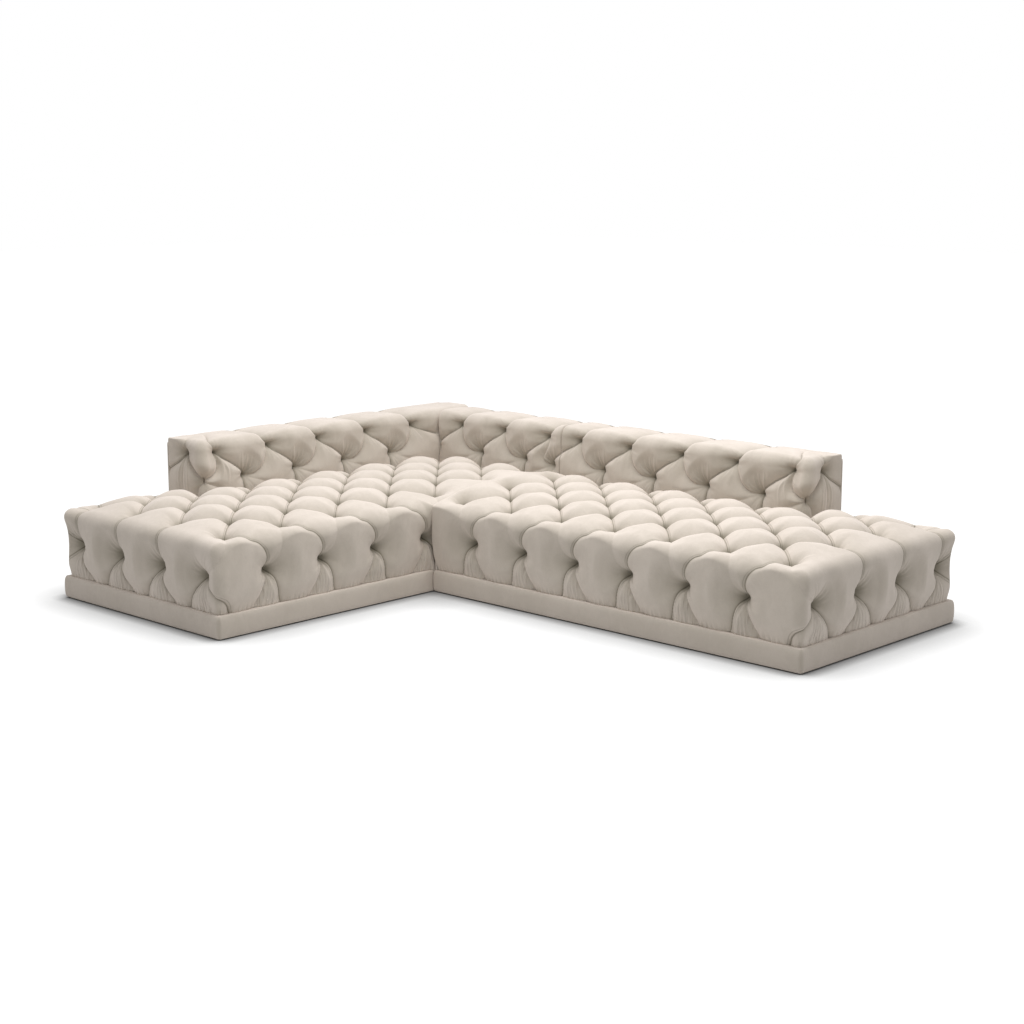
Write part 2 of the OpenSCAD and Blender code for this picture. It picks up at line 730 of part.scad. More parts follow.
module side_back_posts() { color(timber) along_side() back_posts(side_posts[0], side_posts[1]); }
module side_back_top_board() { color(board) along_side() top_board(post_in, side_back_length - side_wall); }
module side_back_lower_board() {
    color(board) along_side() lower_board(post_in, side_back_length - side_wall);
}
module side_back_front_panel() {
    color(board) along_side() front_panel(post_in, side_back_length - side_wall);
}
module side_back_pad() {
    last = side_back_length - back_margin;
    color(fabric) along_side() back_pad(side_range[0], side_range[1], post_in, side_back_length - side_wall,
        corner_tuft, last, back_steps(corner_tuft, last), true);
}
module side_back_cover() {
    color(shade) along_side() outside_cover(cover_face, side_back_length - end_round / 2);
}
module side_back_bolts() { color(steel) along_side() bolts(side_posts[0], side_posts[1]); }

module rear_back_posts() { color(timber) along_rear() back_posts(rear_posts[0], rear_posts[1]); }
module rear_back_top_board() { color(board) along_rear() top_board(rear_board[0], rear_board[1]); }
module rear_back_lower_board() { color(board) along_rear() lower_board(rear_board[0], rear_board[1]); }
module rear_back_front_panel() { color(board) along_rear() front_panel(rear_board[0], rear_board[1]); }
module rear_back_pad() {
    last = unit_depth - back_margin;
    color(fabric) along_rear() back_pad(rear_range[0], rear_range[1], rear_board[0], rear_board[1],
        corner_tuft, last, back_steps(corner_tuft, last), false);
}
module rear_back_cover() { color(shade) along_rear() outside_cover(outside_inset, unit_depth); }
module rear_back_bolts() { color(steel) along_rear() bolts(rear_posts[0], rear_posts[1]); }

module clip_jaws() { color(steel) each_clip(joint_left, 1) jaw(); }
module clip_jaw_screws() { color(steel) each_clip(joint_left, 1) screws(); }

module right_glides() { color(plastic) in_right() glides(right_length); }
module right_glide_plates() { color(timber) in_right() glide_plates(right_length); }
module right_plinth_front_rail() { color(timber) in_right() plinth_front_rail(right_length); }
module right_plinth_back_rail() { color(timber) in_right() plinth_back_rail(right_length); }
module right_plinth_end_rails() {
    color(timber) difference() {
        in_right() plinth_end_rails(right_length);
        in_right() clip_gaps_end(right_length);
        each_clip(joint_right, 0) screw_hole(clearance / 2);
    }
}
module right_plinth_cross_rails() { color(timber) in_right() plinth_cross_rails(right_length); }
module right_plinth_band() {
    color(fabric) in_right() difference() {
        plinth_band(right_length);
        clip_gaps_end(right_length);
    }
}
module right_dust_cloth() { color(cloth) in_right() dust_cloth(right_length) clip_gaps_end(right_length); }
module right_seat_front_rail() { color(timber) in_right() seat_front_rail(right_length, joint_wall); }
module right_seat_back_rail() {
    color(timber) difference() {
        in_right() seat_back_rail(right_length, joint_wall);
        along_right() bolt_holes(right_posts[0], right_posts[1]);
    }
}
module right_seat_end_rails() { color(timber) in_right() seat_end_rails(right_length, joint_wall); }
module right_seat_cross_rails() { color(timber) in_right() seat_cross_rails(right_length); }
module right_corner_blocks() { color(timber) in_right() corner_blocks(right_length, joint_wall); }
module right_webbing() { color(cloth) in_right() webbing(right_length, joint_wall); }
module right_foam_core() { color(foam) in_right() foam_core(right_length, joint_wall); }
module right_seat_pad() {
    color(fabric) in_right() difference() {
        tufted_block(right_length, right_end_margin, right_joint_margin, right_cols, right_length, true);
        seat_hollow(right_length, joint_wall, joint_wall);
        block([unit_depth - notch, right_free - clearance, -overrun],
            [unit_depth + overrun, right_length + overrun, back_height]);
    }
}
module right_joint_panel() {
    color(board) in_right()
        block([unit_depth - back_depth, right_length - band_t - panel_t, plinth_height],
            [unit_depth - rail_in, right_length - band_t, back_foot_z]);
}

module right_back_posts() { color(timber) along_right() back_posts(right_posts[0], right_posts[1]); }
module right_back_top_board() { color(board) along_right() top_board(right_board[0], right_board[1]); }
module right_back_lower_board() { color(board) along_right() lower_board(right_board[0], right_board[1]); }
module right_back_front_panel() { color(board) along_right() front_panel(right_board[0], right_board[1]); }
module right_back_pad() {
    last = right_back_length - back_margin;
    color(fabric) along_right() back_pad(right_range[0], right_range[1], right_board[0], right_board[1],
        back_margin, last, back_steps(back_margin, last), true);
}
module right_back_cover() {
    color(shade) along_right() outside_cover(0, right_back_length - end_round / 2);
}
module right_back_bolts() { color(steel) along_right() bolts(right_posts[0], right_posts[1]); }

module clip_tongues() { color(steel) each_clip(joint_right, 0) tongue(); }
module clip_tongue_screws() { color(steel) each_clip(joint_right, 0) screws(); }

left_glides();
left_glide_plates();
left_plinth_front_rail();
left_plinth_back_rail();
left_plinth_end_rails();
left_plinth_cross_rails();
left_plinth_band();
left_dust_cloth();
left_seat_front_rail();
left_seat_back_rail();
left_seat_end_rails();
left_seat_cross_rails();
left_corner_blocks();
left_webbing();
left_foam_core();
left_seat_pad();
left_joint_panel();
side_back_posts();
side_back_top_board();
side_back_lower_board();
side_back_front_panel();
side_back_pad();
side_back_cover();
side_back_bolts();
rear_back_posts();
rear_back_top_board();
rear_back_lower_board();
rear_back_front_panel();
rear_back_pad();
rear_back_cover();
rear_back_bolts();
clip_jaws();
clip_jaw_screws();
right_glides();
right_glide_plates();
right_plinth_front_rail();
right_plinth_back_rail();
right_plinth_end_rails();
right_plinth_cross_rails();
right_plinth_band();
right_dust_cloth();
right_seat_front_rail();
right_seat_back_rail();
right_seat_end_rails();
right_seat_cross_rails();
right_corner_blocks();
right_webbing();
right_foam_core();
right_seat_pad();
right_joint_panel();
right_back_posts();
right_back_top_board();
right_back_lower_board();
right_back_front_panel();
right_back_pad();
right_back_cover();
right_back_bolts();
clip_tongues();
clip_tongue_screws();
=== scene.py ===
# %% [markdown]
# ## A deep-tufted corner sofa
# The sofa is two upholstered units. Each stands on a plinth, has a timber frame inside and a cover that
# is pulled down to the frame at many points, which gives the rounded diamonds of deep tufting.
# The frame model is loaded first. It is fixed: every piece made here is fitted to it, in metres. Only the
# cloth is made anew, because boards, screws and straps are already as they should be.

# %% Load the frame
import json
import math

import bmesh
import bpy
import numpy as np
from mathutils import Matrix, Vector, noise


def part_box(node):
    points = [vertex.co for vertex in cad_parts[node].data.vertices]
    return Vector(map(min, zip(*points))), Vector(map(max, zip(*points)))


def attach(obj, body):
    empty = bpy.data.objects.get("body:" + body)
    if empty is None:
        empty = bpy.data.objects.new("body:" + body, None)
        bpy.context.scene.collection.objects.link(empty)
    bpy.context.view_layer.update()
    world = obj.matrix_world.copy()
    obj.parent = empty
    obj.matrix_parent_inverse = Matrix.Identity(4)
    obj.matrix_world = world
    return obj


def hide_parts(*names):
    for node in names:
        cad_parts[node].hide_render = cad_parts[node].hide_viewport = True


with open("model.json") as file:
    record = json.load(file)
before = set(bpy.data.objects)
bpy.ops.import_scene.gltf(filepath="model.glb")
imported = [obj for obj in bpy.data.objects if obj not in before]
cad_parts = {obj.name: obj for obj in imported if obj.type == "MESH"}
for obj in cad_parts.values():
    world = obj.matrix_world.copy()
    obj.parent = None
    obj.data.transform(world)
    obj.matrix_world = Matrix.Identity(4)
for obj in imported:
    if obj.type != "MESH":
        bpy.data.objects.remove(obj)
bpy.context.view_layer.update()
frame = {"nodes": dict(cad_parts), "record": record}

# %% [markdown]
# ## Camera
# The photograph looks down at the near corner from about eleven degrees. The place and the lens were
# worked out from the corners of the plinths, so that every edge falls where the photograph has it. A lens
# set by eye would come close, but the pleats can only be compared when the edges agree.

# %% Camera
camera_data = bpy.data.cameras.new("camera")
camera_data.lens = 64.41
camera_data.sensor_width = 36.0
camera = bpy.data.objects.new("camera", camera_data)
camera.location = (5.3249, -5.5004, 1.8881)
camera.rotation_euler = (math.pi / 2 - 0.1886, 0.0, 0.7606)
bpy.context.scene.collection.objects.link(camera)
bpy.context.scene.camera = camera
print("camera at", [round(c, 2) for c in camera.location], "with a lens of", camera_data.lens, "mm")

# %% [markdown]
# ## Places on the sofa
# Upholsterers measure a unit from its own edges, so the cover is worked out in such numbers and turned
# into places in the room at the end. On a seat, `u` goes back from the front face and `v` along from the
# free end. On a back, `s` goes along it and `t` inward from its outside. Working in the room's numbers
# from the start would need every pleat written once for each way that a piece faces.

# %% Sizes that the frame gives
MM = 0.001
seat_height = 398.0
back_height = 655.0
plinth_height = 98.0
unit_depth = 1100.0
left_length = 2295.0
right_length = 1979.0
back_depth = 272.0
foot_clear = 0.3
print("two units", unit_depth, "mm deep,", left_length, "and", right_length, "mm long")


# %% From a unit's own numbers to the room
def place_left(p):
    return np.stack([-440.0 - p[:, 0], -1147.5 + p[:, 1], p[:, 2]], axis=1) * MM


def place_right(p):
    return np.stack([1540.0 - p[:, 1], 47.5 + p[:, 0], p[:, 2]], axis=1) * MM


def place_side_back(p):
    return np.stack([-1540.0 + p[:, 1], 1147.5 - p[:, 0], p[:, 2]], axis=1) * MM


def place_rear_back(p):
    return np.stack([-1540.0 + p[:, 0], 1147.5 - p[:, 1], p[:, 2]], axis=1) * MM


def place_right_back(p):
    return np.stack([-439.0 + p[:, 0], 1147.5 - p[:, 1], p[:, 2]], axis=1) * MM


# %% [markdown]
# ## The skin of a pad
# A pad's cover starts as a fine net over a plain box: a grid on top and rows down its four sides.
# The net is then drawn round the stuffing. Its edges are rounded by pulling each point of the box onto a
# ball that rolls inside it, which keeps the squares of the net even, as a stretched cloth does. A bevelled
# cube would have long thin faces along its edges, and pleats can't bend those.

# %% Net over a box
mesh_step = 4.0


def box_net(size_a, size_b, low, high, step):
    """Points and faces of a closed net over a box: a top grid, rows down the sides and one foot face."""
    count_a = max(4, round((size_a[1] - size_a[0]) / step))
    count_b = max(4, round((size_b[1] - size_b[0]) / step))
    count_z = max(4, round((high - low) / step))
    line_a = np.linspace(size_a[0], size_a[1], count_a + 1)
    line_b = np.linspace(size_b[0], size_b[1], count_b + 1)
    line_z = np.linspace(high, low, count_z + 1)
    grid_a, grid_b = np.meshgrid(line_a, line_b)
    top = np.stack([grid_a.ravel(), grid_b.ravel(), np.full(grid_a.size, high)], axis=1)
    width = count_a + 1
    loop = list(range(count_a))
    loop += [k * width + count_a for k in range(count_b)]
    loop += [count_b * width + k for k in range(count_a, 0, -1)]
    loop += [k * width for k in range(count_b, 0, -1)]
    loop = np.array(loop)
    points = [top]
    for z in line_z[1:]:
        row = top[loop].copy()
        row[:, 2] = z
        points.append(row)
    index = np.arange(top.shape[0]).reshape(count_b + 1, count_a + 1)
    faces = np.stack([index[:-1, :-1], index[:-1, 1:], index[1:, 1:], index[1:, :-1]], axis=-1)
    quads = [faces.reshape(-1, 4)]
    around = len(loop)
    for r in range(count_z):
        upper = loop if r == 0 else top.shape[0] + (r - 1) * around + np.arange(around)
        lower = top.shape[0] + r * around + np.arange(around)
        quads.append(np.stack([upper, lower, np.roll(lower, -1), np.roll(upper, -1)], axis=1))
    foot = (top.shape[0] + (count_z - 1) * around + np.arange(around))[::-1]
    return np.concatenate(points), np.concatenate(quads), foot


# %% Rounding the net's edges
def rounded(p, low, high, radius_low, radius_high):
    """Pulls points of a box onto its rounded form. Returns the places and the outward directions."""
    centre = np.minimum(np.maximum(p, low + radius_low), high - radius_high)
    off = p - centre
    radius = np.where(off > 0, radius_high, radius_low)
    radius = np.maximum(radius, 0.01)
    share = off / radius
    length = np.linalg.norm(share, axis=1, keepdims=True)
    share = share / np.maximum(length, 1e-9)
    place = centre + share * radius
    normal = share / radius
    normal = normal / np.maximum(np.linalg.norm(normal, axis=1, keepdims=True), 1e-12)
    return place, normal


# %% [markdown]
# ## Pleats and tufts
# Between two tufts the spare cloth is folded into a pleat. Each pleat here is a line over the pad with a
# depth: shallow in the middle and deep at the tufts. Across the line the stuffing rises on both sides
# like the side of a cushion, steeper on the side whose cloth folds over. Where several pleats come near
# a point, the deepest one holds it down, and a soft maximum keeps the meeting rounded. Sculpting by hand
# or a simulated cloth could make such folds too, but tufting is regular work, and a rule that is written
# once serves every tuft.

# %% Height of the stuffing beside a pleat
# The power of the soft maximum: a higher one makes a sharper meeting of two pleats.
SHARP = 4.0


def smooth(x, low, high):
    t = np.clip((x - low) / (high - low), 0.0, 1.0)
    return t * t * (3 - 2 * t)


def side_share(distance, reach, power):
    """1 at a pleat and 0 beyond its reach, with a crease at the pleat and a round shoulder."""
    x = np.clip(distance / reach, 0.0, 1.0)
    return 1.0 - (1.0 - (1.0 - x) ** 2) ** power


# %% A pleat's line
def line_points(nodes, count):
    """Even points along a smooth line through the given nodes."""
    nodes = np.array(nodes, dtype=float)
    if len(nodes) == 2:
        t = np.linspace(0, 1, count)[:, None]
        return nodes[0] * (1 - t) + nodes[1] * t
    ext = np.vstack([2 * nodes[0] - nodes[1], nodes, 2 * nodes[-1] - nodes[-2]])
    out = []
    per = max(3, count // (len(nodes) - 1))
    for k in range(1, len(ext) - 2):
        for t in np.linspace(0, 1, per, endpoint=k == len(ext) - 3):
            a, b, c, d = ext[k - 1], ext[k], ext[k + 1], ext[k + 2]
            out.append(0.5 * (2 * b + (c - a) * t + (2 * a - 5 * b + 4 * c - d) * t * t
                              + (3 * b - a - 3 * c + d) * t ** 3))
    return np.array(out)


def nearest_on(line, p):
    """For each point its distance to a line, how far along that is, the whole length and the piece met."""
    steps = line[1:] - line[:-1]
    lengths = np.maximum(np.linalg.norm(steps, axis=1), 1e-6)
    starts = np.concatenate([[0.0], np.cumsum(lengths)])
    best = np.full(len(p), 1e9)
    along = np.zeros(len(p))
    piece = np.zeros(len(p), dtype=int)
    for k in range(len(steps)):
        off = p - line[k]
        t = np.clip(off @ steps[k] / lengths[k] ** 2, 0.0, 1.0)
        distance = np.linalg.norm(off - t[:, None] * steps[k], axis=1)
        closer = distance < best
        best = np.where(closer, distance, best)
        along = np.where(closer, starts[k] + t * lengths[k], along)
        piece = np.where(closer, k, piece)
    return best, along, starts[-1], piece


# %% One pad's cover
no_fold = 40.0
wide_reach = 99.0


class Cover:
    """The points of one pad's net, with the pull of every pleat and tuft added up."""

    def __init__(self, sharp, place, normal, shape, cap):
        self.sharp = sharp
        self.base = place
        self.normal = normal
        self.shape = shape
        self.cap = cap
        self.pull = np.zeros(len(place))
        self.rise = np.zeros(len(place))
        self.slip = np.zeros((len(place), 3))
        self.fold = np.full(len(place), no_fold)
        self.side = np.full(len(place), no_fold)
        self.gather = np.zeros(len(place))
        # hollow is how much painted shade the velvet puts on each point, round tufts and along deep pleats.
        self.hollow = np.zeros(len(place))
        self.joints = []

    def near(self, points, reach):
        """The numbers of the net's points in a box round the given ones."""
        low = points.min(axis=0) - reach
        high = points.max(axis=0) + reach
        return np.nonzero(np.all((self.base > low) & (self.base < high), axis=1))[0]

    def pleat(self, nodes, ends, middle, reach=(95.0, 95.0), power=(0.72, 0.72), crisp=0.0,
              plunge=34.0, dark=0.0, count=28):
        """A pleat through nodes on the plain box. ends and middle are depths, reach and power are for
        the left and right side of its direction, crisp says on which side its fold lies and dark how
        much painted shade is put along a deep one."""
        line, direction = self.shape(line_points(nodes, count))
        near = self.near(line, max(reach))
        if len(near) == 0:
            return
        p = self.base[near]
        best, along, total, piece = nearest_on(line, p)
        across = np.cross(line[1:] - line[:-1], direction[:-1])[piece]
        sign = np.sign(np.sum((p - line[piece]) * across, axis=1))
        depth = middle + (ends[0] - middle) * np.exp(-along / plunge) \
            + (ends[1] - middle) * np.exp(-(total - along) / plunge)
        reach_here = np.where(sign > 0, reach[1], reach[0])
        power_here = np.where(sign > 0, power[1], power[0])
        share = side_share(best, reach_here, power_here)
        self.pull[near] += (np.maximum(depth, 0.0) * share) ** SHARP
        # Painted shade: a dark band along a deep pleat, kept in the hollow mark for the velvet's colour.
        if dark > 0:
            shade = dark * np.exp(-best / np.where(reach_here > wide_reach, 36.0, 8.0))
            if ends[1] < ends[0] / 2:
                shade *= smooth(total - along, 0.0, 110.0)
            self.hollow[near] = np.maximum(self.hollow[near], shade)
        if crisp != 0:
            signed = best * sign * crisp
            closer = best < self.fold[near]
            self.fold[near] = np.where(closer, best, self.fold[near])
            self.side[near] = np.where(closer, signed, self.side[near])

    def wrinkle(self, nodes, size, width):
        """A fine fold of spare cloth, a low ridge between two grooves, that fades at both ends."""
        line, _ = self.shape(line_points(nodes, 12))
        near = self.near(line, 3 * width)
        best, along, total, _ = nearest_on(line, self.base[near])
        x = best / width
        fade = np.sin(math.pi * np.clip(along / total, 0.0, 1.0)) ** 0.7
        self.rise[near] += size * (1 - 2 * x * x) * np.exp(-x * x) * fade

    def tuft(self, node, depth, width, power=1.1, spokes=1.0, wide=(0.0, 0.0, 0.0)):
        """A tuft holds one point down, and small creases run out from it like spokes. Its hollow is
        wider towards wide, where the cloth comes in flat and isn't folded over."""
        point, direction = self.shape(np.array([node], dtype=float))
        near = self.near(point, 5 * width)
        off = self.base[near] - point[0]
        distance = np.linalg.norm(off, axis=1)
        towards = off @ np.array(wide) / np.maximum(distance, 1e-6)
        width_here = width * (1.0 + np.maximum(towards, 0.0) ** 1.5)
        held = np.exp(-(distance / width_here) ** power) * (1 - smooth(distance, 3 * width, 4.8 * width))
        self.pull[near] += (depth * held) ** SHARP
        # Painted shade round the tuft, kept in the hollow mark for the velvet's colour.
        self.hollow[near] = np.maximum(self.hollow[near], held)
        out = direction[0]
        across = np.cross(out, (0.0, 0.0, 1.0) if abs(out[2]) < 0.7 else (0.0, 1.0, 0.0))
        across = across / np.linalg.norm(across)
        up = np.cross(across, out)
        angle = np.arctan2(off @ up, off @ across)
        seed = 7 * int(abs(node[0])) + 13 * int(abs(node[1])) + int(node[2])
        draw = np.random.default_rng(seed)
        ripple = np.zeros(len(near))
        for turns, size in ((5, 0.5), (8, 0.9), (13, 0.8), (19, 0.45)):
            ripple += size * draw.uniform(0.4, 1.0) * np.cos(turns * angle + draw.uniform(0.0, 6.28))
        window = smooth(distance, 12.0, 34.0) * (1 - smooth(distance, 40.0, 95.0))
        self.rise[near] += spokes * 0.8 * ripple * window

    def drop(self):
        """How far every point is pulled in. The cap stops it where the frame begins."""
        pulled = self.pull ** (1.0 / SHARP)
        return 1.0 / (np.maximum(pulled, 1e-3) ** -8 + self.cap ** -8.0) ** 0.125

    def placed(self):
        """Where every point ends. On a joint face the cover is flat and follows the face's outline."""
        moved = self.normal * (self.rise - self.drop())[:, None] + self.slip
        for plane, front, top in self.joints:
            on_plane = np.abs(self.sharp[:, 0] - plane) < 0.01
            on_outline = on_plane & ((self.sharp[:, 1] > front - 0.01) | (self.sharp[:, 2] > top - 0.01))
            inner = on_plane & ~on_outline
            moved[on_plane, 0] = 0.0
            off = self.sharp[inner][:, None, :] - self.sharp[on_outline][None, :, :]
            distance = np.maximum(np.linalg.norm(off, axis=2), 1.0)
            weight = distance ** -4.0
            drawn = (weight @ moved[on_outline]) / weight.sum(axis=1, keepdims=True)
            moved[inner] = drawn * np.exp(-distance.min(axis=1) / 45.0)[:, None]
        return self.base + moved


# %% [markdown]
# ## Seat pads
# Each seat pad is one cover over foam: tufts in rows on top, one row of tufts round its faces, and a foot
# that is drawn in above the plinth. Before it is tufted it is a crowned block. The crown is lower at the
# edges, at the joint and along the back, where the cover is held. A flat block would be simpler, but a
# tufted seat is overfilled and stands highest in its middle.

# %% The seat's own numbers
row_margin = 110.0
row_step = (unit_depth - 2 * row_margin) / 6
side_tuft_z = 245.0
lip_round = 18.0
lip_flow = 62.0
end_round = 66.0
joint_round = 8.0
foot_inset = 15.0
seat_crown = 60.0
end_reach = 400.0
back_roll = 45.0
roll_reach = 120.0
joint_roll = 8.0
top_depth = 78.0
valley_depth = 39.0
side_depth = 66.0
print("a seat's rows stand", round(row_step, 1), "mm apart, and its tufts are", top_depth, "mm deep")


# %% The seat before tufting
def swell(distance, reach):
    """How full the top stands at a distance from an edge: 0 at the edge and 1 well inside."""
    return 1 - (1 - np.clip(distance / reach, 0.0, 1.0)) ** 2.5


def seat_shape(length, first, pitch, joint_from, joint_end, back_from):
    """Returns the function that pulls a seat's plain box into its untufted form."""
    low = np.array([0.0, 0.0, -1e4])
    high = np.array([unit_depth, length, seat_height])

    def shape(p):
        count = len(p)
        at_joint = smooth(p[:, 1], joint_from - 40.0, joint_from)
        near_joint_u = at_joint * (1 - smooth(p[:, 0], 40.0, 110.0))
        near_joint_v = smooth(p[:, 1], length - 110.0, length - 40.0) if joint_end else np.zeros(count)
        near_end = 1 - smooth(p[:, 1], 20.0, 110.0)
        flow = (0.5 - 0.5 * np.cos(math.pi * (p[:, 1] - first) / pitch)) * (1 - near_end)
        flow *= smooth(p[:, 1], first * 0.6, first)
        lip = lip_round + (lip_flow - lip_round) * flow
        edge = lip + (end_round - lip) * near_end
        soft = 1 - np.maximum(near_joint_u, near_joint_v)
        round_z = joint_round + (edge - joint_round) * soft
        high_up = smooth(p[:, 2], 250.0, 335.0)
        round_far = 34.0 + (lip + 2.0 - 34.0) * high_up * (1 - near_end)
        round_u = joint_round + (round_far - joint_round) * (1 - at_joint)
        round_v = joint_round if joint_end else 34.0
        round_end = 44.0 + 22.0 * high_up
        radius_low = np.stack([round_u, round_end, np.zeros(count)], axis=1)
        radius_high = np.stack([round_far, np.full(count, round_v), round_z], axis=1)
        place, normal = rounded(p, low, high, radius_low, radius_high)
        up = np.clip((p[:, 2] - plinth_height) / (seat_height - plinth_height), 0.0, 1.0)
        u = np.maximum(place[:, 0], 0.0)
        v = place[:, 1]
        crown = seat_crown * swell(np.hypot(u, np.maximum(v - joint_from, 0.0)), unit_depth / 2)
        crown *= swell(unit_depth - u, unit_depth / 2) * swell(v, end_reach)
        to_back = np.hypot(np.maximum(unit_depth - back_depth - u, 0.0), np.maximum(back_from - v, 0.0))
        if not joint_end:
            crown *= swell(length - v, unit_depth / 2)
            to_back = np.minimum(to_back, np.maximum(length - back_depth - v, 0.0))
        crown -= back_roll * (1 - np.clip(to_back / roll_reach, 0.0, 1.0)) ** 2
        to_joint = length - v if joint_end else np.where(v > joint_from, u, 1e3)
        crown -= joint_roll * np.exp(-np.maximum(to_joint, 0.0) / 10.0)
        place[:, 2] += crown * smooth(up, 0.7, 1.0) + 2.0 * up
        outward = normal.copy()
        outward[:, 2] = 0
        low_down = 1 - smooth(p[:, 2], plinth_height, 200.0)
        is_joint = (p[:, 0] < 0.5) & (p[:, 1] > joint_from) | ((p[:, 1] > length - 0.5) & joint_end)
        run = np.where(np.abs(normal[:, 0]) > np.abs(normal[:, 1]), p[:, 1], p[:, 0])
        pucker = 0.6 * np.sin(0.21 * run + 1.7 * np.sin(0.043 * run)) \
            + 0.4 * np.sin(0.47 * run + 2.3 * np.sin(0.031 * run))
        near_foot = 1 - smooth(p[:, 2], plinth_height + 2.0, plinth_height + 42.0)
        inset = foot_inset * low_down ** 2.2 + 1.9 * pucker * near_foot
        place -= outward * (inset * ~is_joint)[:, None]
        return place, normal

    return shape


# %% [markdown]
# ## Laying out a seat's tufts and pleats
# An upholsterer marks one grid on the foam and a wider one on the cover, and folds the spare cloth between
# the marks. Here too the tufts stand on a grid and every fold is a path between two of them. Moving the
# points along such paths keeps each fold where the photograph has it, which a simulated cloth would not.
# The work goes in the upholsterer's order: the top, over the edges, and down the faces to the plinth.

# %% The grid of a seat
last_row = 6


class SeatGrid:
    """Rows i go back from the front face, and columns j go along it from the free end."""

    def __init__(self, length, first, last, columns, joint_from):
        self.first = first
        self.columns = columns
        self.pitch = (length - first - last) / columns
        self.joint_from = joint_from

    def u(self, i):
        return row_margin + i * row_step

    def v(self, j):
        return self.first + j * self.pitch

    def hidden(self, edge, j):
        """Whether the other unit stands against this edge at column j."""
        return edge == 0.0 and self.v(j) > self.joint_from


def either_side(first, second, way):
    """A pair for the left and right side of a path, swapped where the path runs the other way."""
    return (first, second) if way > 0 else (second, first)


def beside(tuft, axis, along, z):
    """A place on the same face as a side tuft, some way along it and at a height."""
    place = [tuft[0], tuft[1], z]
    place[axis] += along
    return tuple(place)


# %% Diamonds on the top
def top_diamonds(cover, grid):
    """Tufts on every second crossing of the grid, and pleats from each to its neighbours behind."""
    for i in range(last_row + 1):
        for j in range(grid.columns + 1):
            if (i + j) % 2:
                continue
            here = (grid.u(i), grid.v(j), seat_height)
            cover.tuft(here, top_depth, 29.0, spokes=0.5)
            for dj in (-1, 1):
                if i < last_row and 0 <= j + dj <= grid.columns:
                    there = (grid.u(i + 1), grid.v(j + dj), seat_height)
                    cover.pleat([here, there], (68.0, 68.0), valley_depth, reach=(108.0, 104.0),
                                power=(0.86, 0.80), crisp=1.7 if dj > 0 else 0.0)


# %% Pleats over the long edges
# A path's points are (distance in from the edge, share of the pitch, height).
folded_path = ((45.0, -0.73, seat_height), (0.0, -0.61, seat_height - 3.0), (0.0, -0.36, 371.0),
               (0.0, -0.10, 315.0))
plain_path = ((45.0, 0.62, seat_height), (0.0, 0.48, seat_height - 3.0), (0.0, 0.44, 351.0),
              (0.0, 0.32, 289.0))


def edge_pleats(cover, grid):
    """From each tuft beside a long edge two pleats run over the edge to the side tufts next to it."""
    for j in range(0, grid.columns + 1, 2):
        for i, edge in ((0, 0.0), (last_row, unit_depth)):
            for dj in (-1, 1):
                k = j + dj
                if k < 1 or k > grid.columns or grid.hidden(edge, k):
                    continue
                inward = 1.0 if edge == 0.0 else -1.0
                outer = dj * inward
                folded = dj == 1
                nodes = [(grid.u(i), grid.v(j), seat_height)]
                nodes += [(edge + far * inward, grid.v(k) + share * grid.pitch, z)
                          for far, share, z in (folded_path if folded else plain_path)]
                nodes.append((edge, grid.v(k), side_tuft_z))
                cover.pleat(nodes, (60.0, 54.0), 8.0, reach=either_side(86.0, 118.0, outer),
                            power=either_side(0.68, 0.90, outer), crisp=outer if folded else 0.0,
                            plunge=40.0, dark=0.5 if folded else 0.0, count=40)


# %% Below a side tuft
# A leg's points are (distance along the face, height). The legs that run forward are folded.
long_legs = {1: ((34.0, 214.0), (52.0, 166.0), (70.0, plinth_height)),
             -1: ((-5.0, 220.0), (-26.0, 174.0), (-72.0, plinth_height))}
end_legs = {1: ((24.0, 219.0), (65.0, 172.0), (94.0, 135.0), (110.0, plinth_height)),
            -1: ((-8.0, 196.0), (-40.0, 142.0), (-84.0, plinth_height))}


def leg_pleat(cover, tuft, axis, leg, outer, crisp):
    """One of the two pleats that run from a side tuft down to the plinth."""
    nodes = [tuft] + [beside(tuft, axis, along, z) for along, z in leg]
    cover.pleat(nodes, (54.0, 13.0), 22.0, reach=either_side(56.0, 92.0, outer),
                power=either_side(0.8, 0.62, outer), crisp=crisp, plunge=46.0)


def fan_below(cover, tuft, axis):
    """Between the two legs the cloth falls in a fan of fine folds and gathers."""
    for aim in (-34.0, -12.0, 9.0, 30.0):
        cover.wrinkle([tuft, beside(tuft, axis, 0.6 * aim, 170.0), beside(tuft, axis, aim, 92.0)], 2.0, 8.0)
    across = 1 - axis
    on_face = (np.abs(cover.sharp[:, across] - tuft[across]) < 0.5).astype(float)
    fall = np.clip((side_tuft_z - cover.sharp[:, 2]) / (side_tuft_z - plinth_height), 0.0, 1.0)
    off = np.abs(cover.sharp[:, axis] - tuft[axis])
    inside = 1 - smooth(off, 62.0 * fall, 62.0 * fall + 9.0)
    cover.gather = np.maximum(cover.gather, on_face * inside * smooth(fall, 0.12, 0.35))


# %% The long faces
def long_faces(cover, grid):
    """Side tufts on the front and back faces, between the columns of the top's edge rows."""
    for k in range(1, grid.columns + 1, 2):
        for edge in (0.0, unit_depth):
            if grid.hidden(edge, k):
                continue
            tuft = (edge, grid.v(k), side_tuft_z)
            cover.tuft(tuft, side_depth, 36.0, power=1.0, spokes=1.0, wide=(0.0, 1.0, 0.0))
            for way in (-1, 1):
                outer = way if edge == 0.0 else -way
                leg_pleat(cover, tuft, 1, long_legs[way], outer, -outer if way == 1 else 0.0)
            fan_below(cover, tuft, 1)


